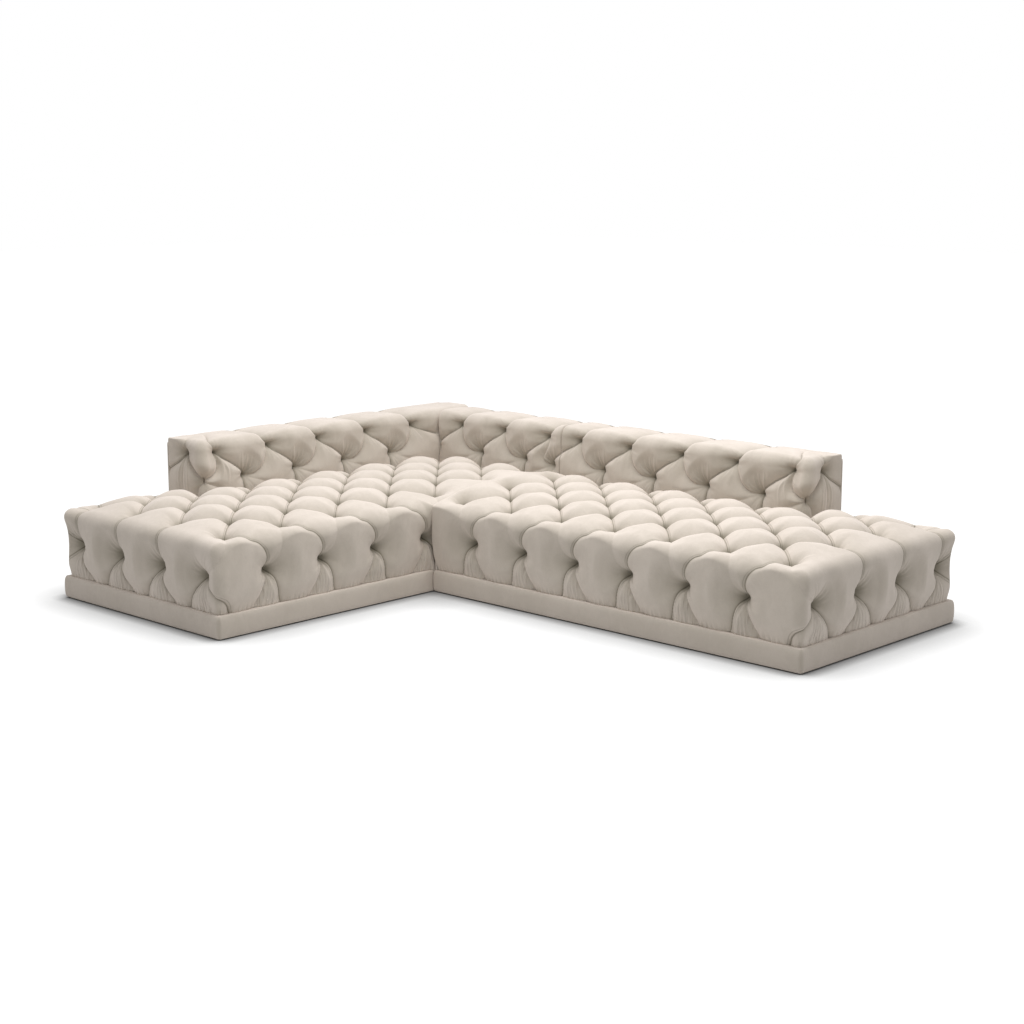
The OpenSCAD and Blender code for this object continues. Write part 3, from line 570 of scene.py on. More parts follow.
# %% The free end
def front_corner(cover, grid, tuft):
    """The corner that is seen first: the cover wraps round it, with one fold under its tuft."""
    top = seat_height
    up = [(grid.u(0), grid.v(0), top), (0.0, 46.0, top), (0.0, 8.0, 335.0), (30.0, 0.0, 290.0), tuft]
    down = [tuft, (72.0, 0.0, 205.0), (28.0, 0.0, 172.0), (0.0, 14.0, 160.0), (0.0, 40.0, 150.0),
            (0.0, 60.0, 128.0), (0.0, 70.0, plinth_height)]
    cover.pleat(up, (60.0, 40.0), 11.0, reach=(90.0, 90.0), power=(0.9, 0.9))
    cover.wrinkle([tuft, (60.0, 0.0, 282.0), (20.0, 0.0, 304.0)], 2.4, 8.0)
    cover.wrinkle([tuft, (84.0, 0.0, 306.0), (60.0, 0.0, 350.0)], 2.0, 8.0)
    cover.pleat(down, (46.0, 10.0), 18.0, reach=(70.0, 40.0), power=(0.66, 0.66), crisp=1.0)


def back_corner(cover, grid, tuft):
    """The corner behind it, where the cover comes round with two low folds."""
    top = seat_height
    far = unit_depth
    up = [(grid.u(last_row), grid.v(0), top), (far, 46.0, top), (far, 8.0, 335.0),
          (far - 30.0, 0.0, 290.0), tuft]
    down = [tuft, (far - 60.0, 0.0, 205.0), (far, 8.0, 160.0), (far, 66.0, plinth_height)]
    cover.pleat(up, (60.0, 40.0), 9.0, reach=(60.0, 60.0), power=(0.8, 0.8), crisp=0.8)
    cover.pleat(down, (40.0, 3.0), 6.0, reach=(60.0, 50.0), power=(0.8, 0.8), crisp=1.0)


def end_face(cover, grid):
    """Side tufts on the free end stand under the top's tufts, so each fold comes straight over."""
    top = seat_height
    for i in range(0, last_row + 1, 2):
        u = grid.u(i)
        tuft = (u, 0.0, side_tuft_z)
        cover.tuft(tuft, side_depth + 6.0, 38.0, power=1.0, spokes=1.0, wide=(1.1, 0.0, 0.2))
        for across, z in ((46.0, 330.0), (70.0, 300.0), (86.0, 262.0)):
            middle = beside(tuft, 0, 0.6 * across, 0.4 * z + 147.0)
            cover.wrinkle([tuft, middle, beside(tuft, 0, across, z)], 1.8, 8.0)
        if i == 0:
            front_corner(cover, grid, tuft)
        elif i == last_row:
            back_corner(cover, grid, tuft)
        if i > 0:
            over = [(u, grid.v(0), top), (u, 70.0, top), (u, 22.0, top - 4.0), (u, 0.0, top - 40.0),
                    (u, 0.0, 300.0), tuft]
            cover.pleat(over, (64.0, 64.0), 12.0, reach=(150.0, 105.0), power=(0.98, 0.72), crisp=-1.0,
                        plunge=44.0, dark=0.5)
        for way in (-1, 1):
            beyond = (i == 0 and way == -1) or (i == last_row and way == 1)
            if not beyond:
                leg_pleat(cover, tuft, 0, end_legs[way], way, 1.0 if way == 1 else 1.5)
        fan_below(cover, tuft, 0)


# %% A whole seat
def fill_out(cover, normal):
    """What the stuffing does between the folds: swollen faces, a full top and full upper corners."""
    net = cover.sharp
    inside = np.minimum(np.minimum(net[:, 0], net[:, 1]), unit_depth - net[:, 0])
    swollen = 13.0 * smooth(net[:, 2], 110.0, 260.0)
    cover.slip[:, :2] = normal[:, :2] * swollen[:, None]
    cover.slip[:, 2] = normal[:, 2] * 11.0 * smooth(inside, 0.0, 190.0) * (net[:, 2] > seat_height - 0.5)
    on_arris = (1 - smooth(net[:, 1], 60.0, 130.0)) * (2 * np.abs(normal[:, 1]) * normal[:, 2]) ** 2
    far_corner = smooth(net[:, 0], unit_depth - 130.0, unit_depth - 60.0)
    cover.rise += (9.0 + 6.0 * far_corner) * on_arris
    on_side = net[:, 2] < seat_height - 0.5
    pucker = (1 - smooth(net[:, 2], plinth_height + 4.0, plinth_height + 34.0)) * on_side
    cover.gather = np.maximum(cover.gather, 0.55 * pucker)


def running_length(net, normal):
    """How far along its face a point lies, for gathers that run down the face."""
    return np.where(np.abs(normal[:, 0]) > np.abs(normal[:, 1]), net[:, 1], net[:, 0])


def seat_cover(length, first, last, columns, joint_from, joint_end, back_from):
    """first and last are the end margins of the tufts. joint_from is where the other unit begins to touch
    the front face, joint_end says whether it touches the far end, and back_from where the back begins."""
    net, quads, foot = box_net((0.0, unit_depth), (0.0, length), plinth_height + foot_clear, seat_height,
                               mesh_step)
    grid = SeatGrid(length, first, last, columns, joint_from)
    shape = seat_shape(length, first, grid.pitch, joint_from, joint_end, back_from)
    place, normal = shape(net)
    upward = smooth(normal[:, 2], 0.5, 0.8)
    at_edge = (1 - smooth(net[:, 1], 60.0, 110.0)) * smooth(net[:, 2], 280.0, 335.0)
    cap = 68.0 + 30.0 * upward
    cover = Cover(net, place, normal, shape, cap + (68.0 - cap) * at_edge)
    top_diamonds(cover, grid)
    edge_pleats(cover, grid)
    long_faces(cover, grid)
    end_face(cover, grid)
    fill_out(cover, normal)
    cover.run = running_length(net, normal)
    return cover, quads, foot


# %% [markdown]
# ## Back pads
# A back is a long pad with two rows of tufts in its front face. From each upper tuft a pleat runs over
# the top. At a free end the cover wraps round the corner, where the stuffing stands out like a nose.
# It could be one rounded block with a bump pattern, but its folds show against the white background, so
# they are moved into the mesh in the same way as the seat's.

# %% The back's own numbers
cover_face = 11.0
back_foot = 330.0
low_tuft_z = 474.0
high_tuft_z = 596.0
back_lean = 20.0
back_pit = 50.0
joint_low = 1040.0
rear_to_right = 1101.0
print("a back's tufts are", back_pit, "mm deep, at", low_tuft_z, "and", high_tuft_z, "mm up")


# %% The back before tufting
def back_shape(start, finish, free_end):
    """Returns the function that pulls a back's plain box into its untufted form."""
    low = np.array([start, cover_face, -1e4])
    high = np.array([finish, back_depth, back_height])

    def shape(p):
        count = len(p)
        to_front = smooth(p[:, 1], 60.0, 150.0)
        butt = 0.5
        end = butt + 39.0 * to_front if free_end else np.full(count, butt)
        radius_low = np.stack([np.full(count, butt), np.full(count, 6.0), np.zeros(count)], axis=1)
        top_round = 22.0 + 22.0 * to_front
        radius_high = np.stack([end, np.full(count, 44.0), top_round], axis=1)
        place, normal = rounded(p, low, high, radius_low, radius_high)
        up = np.clip((p[:, 2] - back_foot) / (back_height - back_foot), 0.0, 1.0)
        depth = (place[:, 1] - cover_face) / (back_depth - cover_face)
        place[:, 1] -= back_lean * up * np.clip(depth, 0, 1)
        return place, normal

    return shape


# %% Pleats that every tuft of a back has
def on_front(s, z):
    """A place on the front face of a back."""
    return (s, back_depth, z)


def pleat_down(cover, s, low):
    """The folded pleat from an upper tuft to the lower tuft on its left."""
    gap = low - s
    path = [on_front(s, high_tuft_z), on_front(s + 0.19 * gap, 569.0), on_front(s + 0.55 * gap, 537.0),
            on_front(s + 0.95 * gap, 494.0), on_front(low, low_tuft_z)]
    cover.pleat(path, (46.0, 46.0), 27.0, reach=(78.0, 52.0), power=(0.8, 0.58), crisp=-2.2, plunge=30.0)


def upper_pleats(cover, s, below_low, below_high, corner_low):
    """From an upper tuft one fold runs over the top and two run down to the lower tufts beside it."""
    top = back_height
    here = on_front(s, high_tuft_z)
    cover.tuft(here, back_pit, 32.0, power=1.0, spokes=0.8, wide=(-1.0, 0.0, 0.0))
    over = [here, on_front(s + 26.0, 632.0), (s + 40.0, 214.0, top), (s + 46.0, 120.0, top),
            (s + 58.0, 10.0, top)]
    cover.pleat(over, (50.0, 10.0), 32.0, reach=(66.0, 140.0), power=(0.52, 0.95), crisp=-2.2, plunge=34.0,
                dark=0.95)
    if below_low is not None:
        pleat_down(cover, s, below_low)
    if corner_low:
        path = [here, on_front(s - 45.0, 573.0), on_front(s - 95.0, 556.0), on_front(s - 150.0, 540.0)]
        cover.pleat(path, (46.0, 20.0), 24.0, reach=(78.0, 52.0), power=(0.8, 0.58), crisp=-2.2,
                    plunge=30.0)
    if below_high is not None:
        gap = below_high - s
        path = [here, on_front(s + 0.13 * gap, 562.0), on_front(s + 0.30 * gap, 513.0),
                on_front(s + 0.62 * gap, 480.0), on_front(below_high, low_tuft_z)]
        cover.pleat(path, (46.0, 46.0), 26.0, reach=(90.0, 58.0), power=(0.85, 0.6), plunge=30.0)
    for reach_s, reach_z in ((-44.0, 22.0), (-30.0, 38.0), (46.0, 2.0)):
        cover.wrinkle([here, on_front(s + reach_s, high_tuft_z + reach_z)], 1.2, 6.0)


def lower_pleats(cover, s, z, at_joint):
    """A lower tuft holds the pillow above it with a fan of fine folds. Its own folds run to the seat."""
    here = on_front(s, z)
    cover.tuft(here, back_pit, 30.0, power=1.0, spokes=0.8, wide=(-0.7, 0.0, 0.9))
    if not at_joint:
        cover.pleat([here, on_front(s + 3.0, z - 40.0), on_front(s + 4.0, z - 110.0)], (44.0, 14.0), 20.0,
                    reach=(46.0, 80.0), power=(0.56, 0.85), crisp=2.0, plunge=34.0)
    cover.pleat([here, on_front(s - 52.0, z - 18.0), on_front(s - 120.0, z - 40.0)], (40.0, 6.0), 12.0,
                reach=(60.0, 60.0), power=(0.8, 0.8))
    for aim_s, aim_z in ((-72.0, 64.0), (-40.0, 88.0), (-14.0, 100.0), (20.0, 112.0)):
        path = [here, on_front(s + 0.75 * aim_s, z + 0.5 * aim_z), on_front(s + aim_s, z + aim_z)]
        cover.wrinkle(path, 2.2, 7.0)
    for aim in (-36.0, -18.0, 24.0):
        cover.wrinkle([here, on_front(s + aim, z - 62.0)], 1.4, 6.0)


# %% The free end of a back
def nose(cover, end, s):
    """At a free end the cover is folded round the corner and leaves a rounded tongue of stuffing."""
    top = back_height
    corner = on_front(end, 474.0)
    face = (end, 128.0, 590.0)
    upper = on_front(s, high_tuft_z)
    cover.tuft(upper, back_pit, 34.0, power=1.0, spokes=0.8)
    cover.tuft(face, 52.0, 36.0, power=1.0, spokes=0.8)
    cover.tuft(corner, 54.0, 30.0)
    arch = [upper, on_front(s + 20.0, 632.0), (end - 68.0, 244.0, top), (end - 112.0, 170.0, top),
            (end - 150.0, 100.0, top), (end - 156.0, 62.0, top), (end - 121.0, 58.0, top),
            (end - 72.0, 92.0, top), (end - 30.0, 126.0, top), (end, 134.0, top - 26.0), face]
    cover.pleat(arch, (46.0, 46.0), 13.0, reach=(30.0, 62.0), power=(0.6, 0.85), crisp=-2.2, plunge=30.0,
                count=60)
    right = [upper, on_front(s - 3.0, 562.0), on_front(s - 4.0, 538.0), on_front(s + 8.0, 507.0),
             on_front(s + 38.0, 486.0), on_front(s + 72.0, 477.0), corner]
    cover.pleat(right, (46.0, 50.0), 33.0, reach=(44.0, 74.0), power=(0.55, 0.8), plunge=30.0, count=40)
    left = [face, (end, 146.0, 562.0), (end, 176.0, 530.0), (end, 214.0, 500.0), (end, 246.0, 482.0),
            corner]
    cover.pleat(left, (46.0, 50.0), 33.0, reach=(74.0, 44.0), power=(0.8, 0.55), plunge=30.0, count=40)
    cover.pleat([face, (end, 94.0, 552.0), (end, 50.0, 530.0), (end, cover_face, 508.0)], (44.0, 8.0), 15.0,
                reach=(60.0, 44.0), power=(0.8, 0.6), crisp=2.0)
    cover.pleat([face, (end, 118.0, 500.0), (end, 112.0, 400.0)], (40.0, 5.0), 12.0, reach=(60.0, 60.0))
    cover.pleat([corner, on_front(end - 60.0, 456.0), on_front(end - 120.0, 430.0)], (44.0, 6.0), 16.0,
                reach=(56.0, 56.0), power=(0.8, 0.8))
    cover.pleat([corner, (end, 226.0, 440.0), (end, 206.0, 360.0)], (44.0, 6.0), 15.0,
                reach=(56.0, 56.0), power=(0.8, 0.8))
    bulge = cover.base - np.array([end - 14.0, back_depth - 16.0, 548.0])
    cover.rise += 15.0 * np.exp(-np.sum((bulge / np.array([34.0, 40.0, 50.0])) ** 2, axis=1))
    for aim_s, aim_z in ((-10.0, -120.0), (-44.0, -150.0)):
        cover.wrinkle([upper, on_front(s + 0.7 * aim_s - 16.0, high_tuft_z + 0.5 * aim_z),
                       on_front(s + aim_s, high_tuft_z + aim_z)], 2.2, 8.0)
    for aim in (92.0, 112.0, 138.0, 160.0):
        cover.wrinkle([face, (end, aim, 500.0), (end, aim, 400.0)], 1.8, 7.0)


# %% A whole back
def neighbours(s, lowers):
    """The lower tufts on either side of an upper one, or None. One too near on the right is left out."""
    left = [low for low in lowers if low < s]
    right = [low for low in lowers if low > s]
    to_left = max(left) if left else None
    to_right = min(right) if right else None
    if to_right is not None and to_right - s < 60.0:
        to_right = None
    return to_left, to_right


def back_cover(start, finish, uppers, lowers, reach_over, joints, free_end, corner_low):
    """uppers and lowers may hold tufts of the neighbour, so that pillows go on across a joint. joints are
    the flat ends, and corner_low adds the fold that runs into the inner corner."""
    net, quads, foot = box_net((start, finish), (cover_face, back_depth), back_foot, back_height, mesh_step)
    place, normal = back_shape(start, finish, free_end)(net)
    shape = back_shape(start - reach_over[0], finish + reach_over[1], free_end)
    for plane in joints:
        at_plane = (np.abs(net[:, 0] - plane) < 25.0) & (np.hypot(normal[:, 1], normal[:, 2]) > 0.3)
        normal[at_plane, 0] = 0.0
        normal[at_plane] /= np.linalg.norm(normal[at_plane], axis=1, keepdims=True)
    cover = Cover(net, place, normal, shape, np.full(len(net), 62.0))
    cover.joints = [(plane, back_depth, back_height) for plane in joints]
    for s in uppers[:-1] if free_end else uppers:
        to_left, to_right = neighbours(s, lowers)
        upper_pleats(cover, s, to_left, to_right, corner_low and s == uppers[0])
    for s in lowers:
        at_joint = s in (joint_low, joint_low - rear_to_right)
        lower_pleats(cover, s, 462.0 if at_joint else low_tuft_z, at_joint)
    if free_end:
        pleat_down(cover, uppers[-1], lowers[-1])
        nose(cover, finish, uppers[-1])
    cover.rise += 7.0 * smooth(net[:, 2], 400.0, 470.0) * smooth(net[:, 1], 30.0, 120.0)
    cover.run = running_length(net, normal)
    return cover, quads, foot


def joint_fold(cover, shift):
    """Beside the joint a narrow pillow runs down from the last tuft of the rear back in a soft curve."""
    path = [(1000.0, high_tuft_z), (1012.0, 572.0), (1005.0, 540.0), (986.0, 503.0), (1000.0, 474.0),
            (joint_low, 462.0)]
    cover.pleat([on_front(s + shift, z) for s, z in path], (46.0, 46.0), 26.0, reach=(84.0, 50.0),
                power=(0.85, 0.56), plunge=26.0, count=40)


# %% [markdown]
# ## Five covers
# The numbers of each pad go to the cover maker, and its points become a mesh. The mesh keeps a few numbers
# for every point, such as how near a fold is, and the velvet reads them later. A texture would do too, but
# it would need an unwrapped map, and such marks follow the cover by themselves.

# %% Making a mesh from a cover
def new_mesh(name, points, faces):
    """An object at the origin with its place in its mesh."""
    mesh = bpy.data.meshes.new(name)
    mesh.from_pydata([tuple(p) for p in points.tolist()], [], faces)
    mesh.update()
    obj = bpy.data.objects.new(name, mesh)
    bpy.context.scene.collection.objects.link(obj)
    return obj


def net_faces(quads, foot, mirrored):
    """The faces of a net, turned round where its place in the room is a mirror image."""
    if mirrored:
        quads = quads[:, ::-1]
        foot = foot[::-1]
    return [tuple(q) for q in quads.tolist()] + [tuple(foot.tolist())]


def mesh_from(name, made, to_room, mirrored):
    cover, quads, foot = made
    obj = new_mesh(name, to_room(cover.placed()), net_faces(quads, foot, mirrored))
    # fold_side and fold_near carry the pleats' bands and the painted shade along their creases; hollow and
    # held carry painted shade in pits and deep folds.
    marks = {"fold_side": np.clip(cover.side, -no_fold, no_fold),
             "fold_near": np.clip(cover.fold, 0.0, no_fold),
             "gather": cover.gather, "run": cover.run, "hollow": cover.hollow,
             "held": np.clip(cover.drop() / 60.0, 0.0, 1.0)}
    for mark, values in marks.items():
        layer = obj.data.attributes.new(mark, "FLOAT", "POINT")
        layer.data.foreach_set("value", values.astype(np.float32))
    print(name, len(obj.data.vertices), "points, deepest pull", round(float(cover.drop().max()), 1), "mm")
    return obj


# %% The two seats
joint_from = 1195.0
front_is_free = 5000.0
left_made = seat_cover(left_length, first=120.0, last=84.0, columns=14, joint_from=joint_from,
                       joint_end=False, back_from=565.0)
left_seat = mesh_from("left_seat_upholstery", left_made, place_left, True)
right_made = seat_cover(right_length, first=135.0, last=84.0, columns=12, joint_from=front_is_free,
                        joint_end=True, back_from=563.0)
right_seat = mesh_from("right_seat_upholstery", right_made, place_right, False)

# %% The three backs
side_uppers = [409.0 + 305.25 * k for k in range(5)]
side_lowers = [561.6 + 305.25 * k for k in range(4)]
side_made = back_cover(11.0, 1730.0, side_uppers, side_lowers, reach_over=(0.0, 0.0), joints=(),
                       free_end=True, corner_low=True)
side_back = mesh_from("side_back_upholstery", side_made, place_side_back, False)
rear_start = 272.3
rear_finish = 1100.4
rear_uppers = [409.0, 704.5, 1000.0, 1201.0]
rear_lowers = [257.0, 556.8, 852.2, joint_low, 1353.0]
rear_made = back_cover(rear_start, rear_finish, rear_uppers, rear_lowers, reach_over=(300.0, 400.0),
                       joints=(rear_start, rear_finish), free_end=False, corner_low=False)
joint_fold(rear_made[0], 0.0)
rear_back = mesh_from("rear_back_upholstery", rear_made, place_rear_back, True)
right_start = -0.4
right_uppers = [-101.0] + [100.0 + 304.0 * k for k in range(5)]
right_lowers = [joint_low - rear_to_right] + [252.0 + 304.0 * k for k in range(4)]
right_made = back_cover(right_start, 1416.0, right_uppers, right_lowers, reach_over=(400.0, 0.0),
                        joints=(right_start,), free_end=True, corner_low=False)
joint_fold(right_made[0], -rear_to_right)
right_back = mesh_from("right_back_upholstery", right_made, place_right_back, True)

# %% [markdown]
# ## Pockets for the frame
# The stuffing is hollow where the timber frame, the foam core and the backs stand. The same hollows are
# cut here that the solid model has, with a little room round everything. A Boolean modifier cuts them,
# because the pads are closed meshes and the pockets are plain boxes.

# %% Cutting
GAP = 0.3
above = 700.0


def box_cutter(low, high, to_room):
    """A closed box between two corners given in a piece's own numbers."""
    corners = np.array([[x, y, z] for x in (low[0], high[0]) for y in (low[1], high[1])
                        for z in (low[2], high[2])], dtype=float)
    room = to_room(corners)
    low_room = room.min(axis=0)
    high_room = room.max(axis=0)
    bpy.ops.object.select_all(action="DESELECT")
    bpy.ops.mesh.primitive_cube_add(size=1.0, location=(low_room + high_room) / 2,
                                    scale=high_room - low_room)
    cutter = bpy.context.object
    bpy.ops.object.transform_apply(location=True, rotation=True, scale=True)
    return cutter


def cut(piece, cutters):
    """Takes the cutters out of the piece and removes them."""
    for cutter in cutters:
        taken = piece.modifiers.new("hollow", "BOOLEAN")
        taken.operation = "DIFFERENCE"
        taken.solver = "MANIFOLD"
        taken.object = cutter
        bpy.context.view_layer.objects.active = piece
        bpy.ops.object.modifier_apply(modifier=taken.name)
        bpy.data.objects.remove(cutter, do_unlink=True)
    print(piece.name, len(piece.data.polygons), "faces after cutting")


# %% Hollows in the seats and the backs
def seat_hollows(length, far, core_far, to_room):
    low = 75.0 - GAP
    return [box_cutter((low, low, 0.0), (1025.0 + GAP, length - far + GAP, 230.0 + GAP), to_room),
            box_cutter((low, low, 200.0), (798.0, length - core_far + GAP, 310.0 + GAP), to_room)]


def back_hollow(start, finish, to_room):
    return [box_cutter((start, -50.0, 200.0), (finish + GAP, 160.0 + GAP, 563.0 + GAP), to_room)]


notch = 827.7
left_hollows = seat_hollows(left_length, 75.0, 302.3, place_left)
left_hollows.append(box_cutter((notch, 564.7, 0.0), (1200.0, 2400.0, above), place_left))
left_hollows.append(box_cutter((-100.0, 2022.7, 0.0), (900.0, 2400.0, above), place_left))
cut(left_seat, left_hollows)
right_hollows = seat_hollows(right_length, 25.0, 25.0, place_right)
right_hollows.append(box_cutter((notch, 562.7, 0.0), (1200.0, 2100.0, above), place_right))
cut(right_seat, right_hollows)
cut(side_back, back_hollow(30.0 - GAP, 1655.0, place_side_back))
cut(rear_back, back_hollow(272.0, 1075.0, place_rear_back))
cut(right_back, back_hollow(25.0 - GAP, 1341.0, place_right_back))

# %% [markdown]
# ## Plinth bands
# Each plinth is a timber box with a strip of the same velvet pulled round it over thin wadding. Its edges
# are soft, the strip is joined at the corners, and its top edge turns over the timber under the seat. A
# bevelled box could stand for it, but a profile swept round the plan gives the soft top and the tuck below.

# %% Band round a plinth
seam_pull = 1.3


def band_rows(length, profile, corner, spacing):
    """Sweeps a closed profile of (inset, height) pairs round a rounded rectangle."""
    rows = []
    for inset, height in profile:
        radius = max(corner - inset, 0.3)
        ring = []
        for centre_u, centre_v, turn in ((0, 0, 180.0), (1, 0, 270.0), (1, 1, 0.0), (0, 1, 90.0)):
            cu = inset + radius if centre_u == 0 else unit_depth - inset - radius
            cv = inset + radius if centre_v == 0 else length - inset - radius
            for k in range(9):
                angle = math.radians(turn + 90.0 * k / 8)
                pull = seam_pull if k == 4 and inset < 5.0 else 0.0
                out = radius - pull
                ring.append((cu + out * math.cos(angle), cv + out * math.sin(angle)))
        full = []
        for k, here in enumerate(ring):
            after = ring[(k + 1) % len(ring)]
            full.append(here)
            if k % 9 == 8:
                side = k // 9
                run = unit_depth if side in (0, 2) else length
                steps = int(run / spacing)
                for m in range(1, steps):
                    full.append((here[0] + (after[0] - here[0]) * m / steps,
                                 here[1] + (after[1] - here[1]) * m / steps))
        rows.append([(u, v, height) for u, v in full])
    return np.array(rows)


# %% The band as a mesh
# (inset, height) pairs: under the foot, up the swelling face, over the timber and back inside.
band_profile = [(6.0, 4.4), (2.5, 4.0), (-1.0, 5.6), (-4.0, 10.0), (-5.8, 18.0), (-6.8, 32.0),
                (-7.2, 50.0), (-6.9, 66.0), (-6.0, 78.0), (-4.2, 87.0), (-1.2, 93.5), (1.2, 96.6),
                (4.0, 98.2), (16.0, 98.2), (30.0, 98.2), (30.0, 98.05), (6.0, 98.05), (6.0, 60.0)]


def plinth_band(name, length, to_room, mirrored, joint_from):
    """joint_from is where the other unit begins to touch the front, or None if it touches the far end.
    Where the units touch, the band is pressed flat."""
    rows = band_rows(length, band_profile, 12.0, 24.0)
    count = rows.shape[1]
    points = rows.reshape(-1, 3)
    for k in range(len(points)):
        inset, height = band_profile[k // count]
        if inset < 5.0 and 5.0 < height < 97.0:
            spot = Vector((points[k, 0] * 0.011, points[k, 1] * 0.011, height * 0.03))
            dent = 0.9 * (0.5 + noise.noise(spot))
            centre = np.array([unit_depth / 2, length / 2])
            off = points[k, :2] - centre
            edge = np.abs(off) / centre
            axis = 0 if edge[0] > edge[1] else 1
            points[k, axis] -= math.copysign(max(dent, 0.0), off[axis])
    if joint_from is None:
        points[:, 1] = np.minimum(points[:, 1], length - 0.2)
    else:
        held = smooth(points[:, 1], joint_from - 50.0, joint_from - 8.0)
        out = points[:, 0] < 0.2
        points[out, 0] = points[out, 0] * (1 - held[out]) + 0.2 * held[out]
    faces = []
    size = len(band_profile)
    for r in range(size):
        below = r * count
        above = ((r + 1) % size) * count
        for k in range(count):
            after = (k + 1) % count
            quad = (below + k, below + after, above + after, above + k)
            faces.append(quad[::-1] if mirrored else quad)
    return new_mesh(name, to_room(points), faces)


# %% Both bands, with openings for the clips
left_band = plinth_band("left_plinth_cloth", left_length, place_left, True, joint_from)
right_band = plinth_band("right_plinth_cloth", right_length, place_right, False, None)
clip_half = 25.3
clip_top = 26.8
for place in (250.0, 850.0):
    middle = left_length - place
    cut(left_band, [box_cutter((-5.0, middle - clip_half, 0.0), (32.0, middle + clip_half, clip_top),
                               place_left)])
    middle = unit_depth - place
    cut(right_band, [box_cutter((middle - clip_half, right_length - 32.0, 0.0),
                                (middle + clip_half, right_length + 5.0, clip_top), place_right)])

# %% [markdown]
# ## Outside covers
# The outside of each back is plain velvet, pulled flat over wadding and closed with a seam along the top.
# It could be a bevelled board. The net of the pads is used again, because it swells a little between its
# edges as wadding does.

# %% Flat padded covers
def outside_cover(name, start, finish, to_room, mirrored):
    low_z = 98.4
    high_z = 631.6
    net, quads, foot = box_net((start, finish), (low_z, high_z), 0.0, 7.4, 14.0)
    place, normal = rounded(net, np.array([start, low_z, -1e4]), np.array([finish, high_z, 7.4]),
                            np.array([4.0, 3.0, 0.1]), np.array([4.0, 6.0, 4.0]))
    edge = np.minimum(np.minimum(net[:, 0] - start, finish - net[:, 0]),
                      np.minimum(net[:, 1] - low_z, high_z - net[:, 1]))
    lift = 1.6 * smooth(edge, 0.0, 120.0)
    for k in range(len(net)):
        if net[k, 2] > 7.0:
            lift[k] += 0.5 * noise.noise(Vector((net[k, 0] * 0.006, net[k, 1] * 0.006, 3.0)))
    place[:, 2] = np.where(net[:, 2] > 7.0, place[:, 2] + lift, place[:, 2])
    local = np.stack([place[:, 0], 10.7 - place[:, 2], place[:, 1]], axis=1)
    return new_mesh(name, to_room(local), net_faces(quads, foot, mirrored))


covers = [
    (outside_cover("side_back_outside", 11.2, 1729.0, place_side_back, False), "corner_unit",
     "side_back_cover"),
    (outside_cover("rear_back_outside", 3.0, 1100.0, place_rear_back, True), "corner_unit",
     "rear_back_cover"),
    (outside_cover("right_back_outside", 0.0, 1415.0, place_right_back, True), "straight_unit",
     "right_back_cover"),
]
for piece, _, _ in covers:
    print(piece.name, len(piece.data.polygons), "faces")

# %% [markdown]
# ## Linings at the joint
# Where the two units meet, each back ends in a board below its pad. It is hidden while the sofa is
# together, and on a real unit a plain panel of cloth is stretched over it. Such a panel is a flat box
# whose open face is inset and pushed out a little, as thin wadding does, and whose edges are rounded.

# %% Stretched cloth panels
def joint_lining(name, low, high, outward):
    """A thin padded panel between two corners in millimetres. outward is the way that its face looks."""
    bpy.ops.object.select_all(action="DESELECT")
    low = np.array(low) * MM
    high = np.array(high) * MM
    bpy.ops.mesh.primitive_cube_add(size=1.0, location=(low + high) / 2, scale=high - low)
    panel = bpy.context.object
    panel.name = name
    bpy.ops.object.transform_apply(location=True, rotation=True, scale=True)
    bpy.ops.object.mode_set(mode="EDIT")
    bpy.ops.mesh.select_mode(type="FACE")
    bpy.ops.mesh.select_all(action="DESELECT")
    shell = bmesh.from_edit_mesh(panel.data)
    for face in shell.faces:
        face.select = face.normal.x * outward > 0.9
    bmesh.update_edit_mesh(panel.data)
    bpy.ops.mesh.inset(thickness=0.006, depth=0.0002)
    bpy.ops.mesh.inset(thickness=0.030, depth=0.0005)
    bpy.ops.object.mode_set(mode="OBJECT")
    rounding = panel.modifiers.new("soft edges", "BEVEL")
    rounding.width = 0.0016
    rounding.segments = 3
    bpy.ops.object.modifier_apply(modifier=rounding.name)
    print(name, len(panel.data.polygons), "faces")
    return panel


linings = [
    (joint_lining("corner_joint_lining", (-445.7, 876.4, 98.6), (-441.4, 1136.2, 329.4), 1.0),
     "corner_unit"),
    (joint_lining("straight_joint_lining", (-437.8, 876.4, 98.6), (-433.3, 1136.2, 329.4), -1.0),
     "straight_unit"),
]

# %% [markdown]
# ## Shader groups
# Velvet, wood, webbing and steel share a few effects. Each effect is a node group with its own inputs, so
# that one pattern serves several finishes at different sizes. A group puts out only a number that changes
# over the surface, and each material decides what that number does. Pictures of real cloth or wood could
# be used, but they would need unwrapping and would repeat.

# %% Helpers for nodes
def new_group(name, inputs, outputs):
    """An empty shader group with number sockets. inputs are (name, default) pairs."""
    tree = bpy.data.node_groups.new(name, "ShaderNodeTree")
    for label, value in inputs:
        socket = tree.interface.new_socket(label, in_out="INPUT", socket_type="NodeSocketFloat")
        socket.default_value = value
    for label in outputs:
        tree.interface.new_socket(label, in_out="OUTPUT", socket_type="NodeSocketFloat")
    start = tree.nodes.new("NodeGroupInput")
    end = tree.nodes.new("NodeGroupOutput")
    return tree, start, end


def feed(tree, socket, value):
    """Gives an input a plain value, or links another node's output to it."""
    if isinstance(value, (int, float, tuple)):
        socket.default_value = value
    else:
        tree.links.new(value, socket)


def sum_node(tree, kind, first, second=0.0, third=0.0):
    """A maths node whose inputs are sockets or plain numbers."""
    node = tree.nodes.new("ShaderNodeMath")
    node.operation = kind
    for place, value in enumerate((first, second, third)):
        feed(tree, node.inputs[place], value)
    return node.outputs[0]


def times(tree, first, second):
    """The product of two values."""
    return sum_node(tree, "MULTIPLY", first, second)


def scaled(tree, value, factor, base):
    """A value times a factor, added to a base."""
    return sum_node(tree, "MULTIPLY_ADD", value, factor, base)


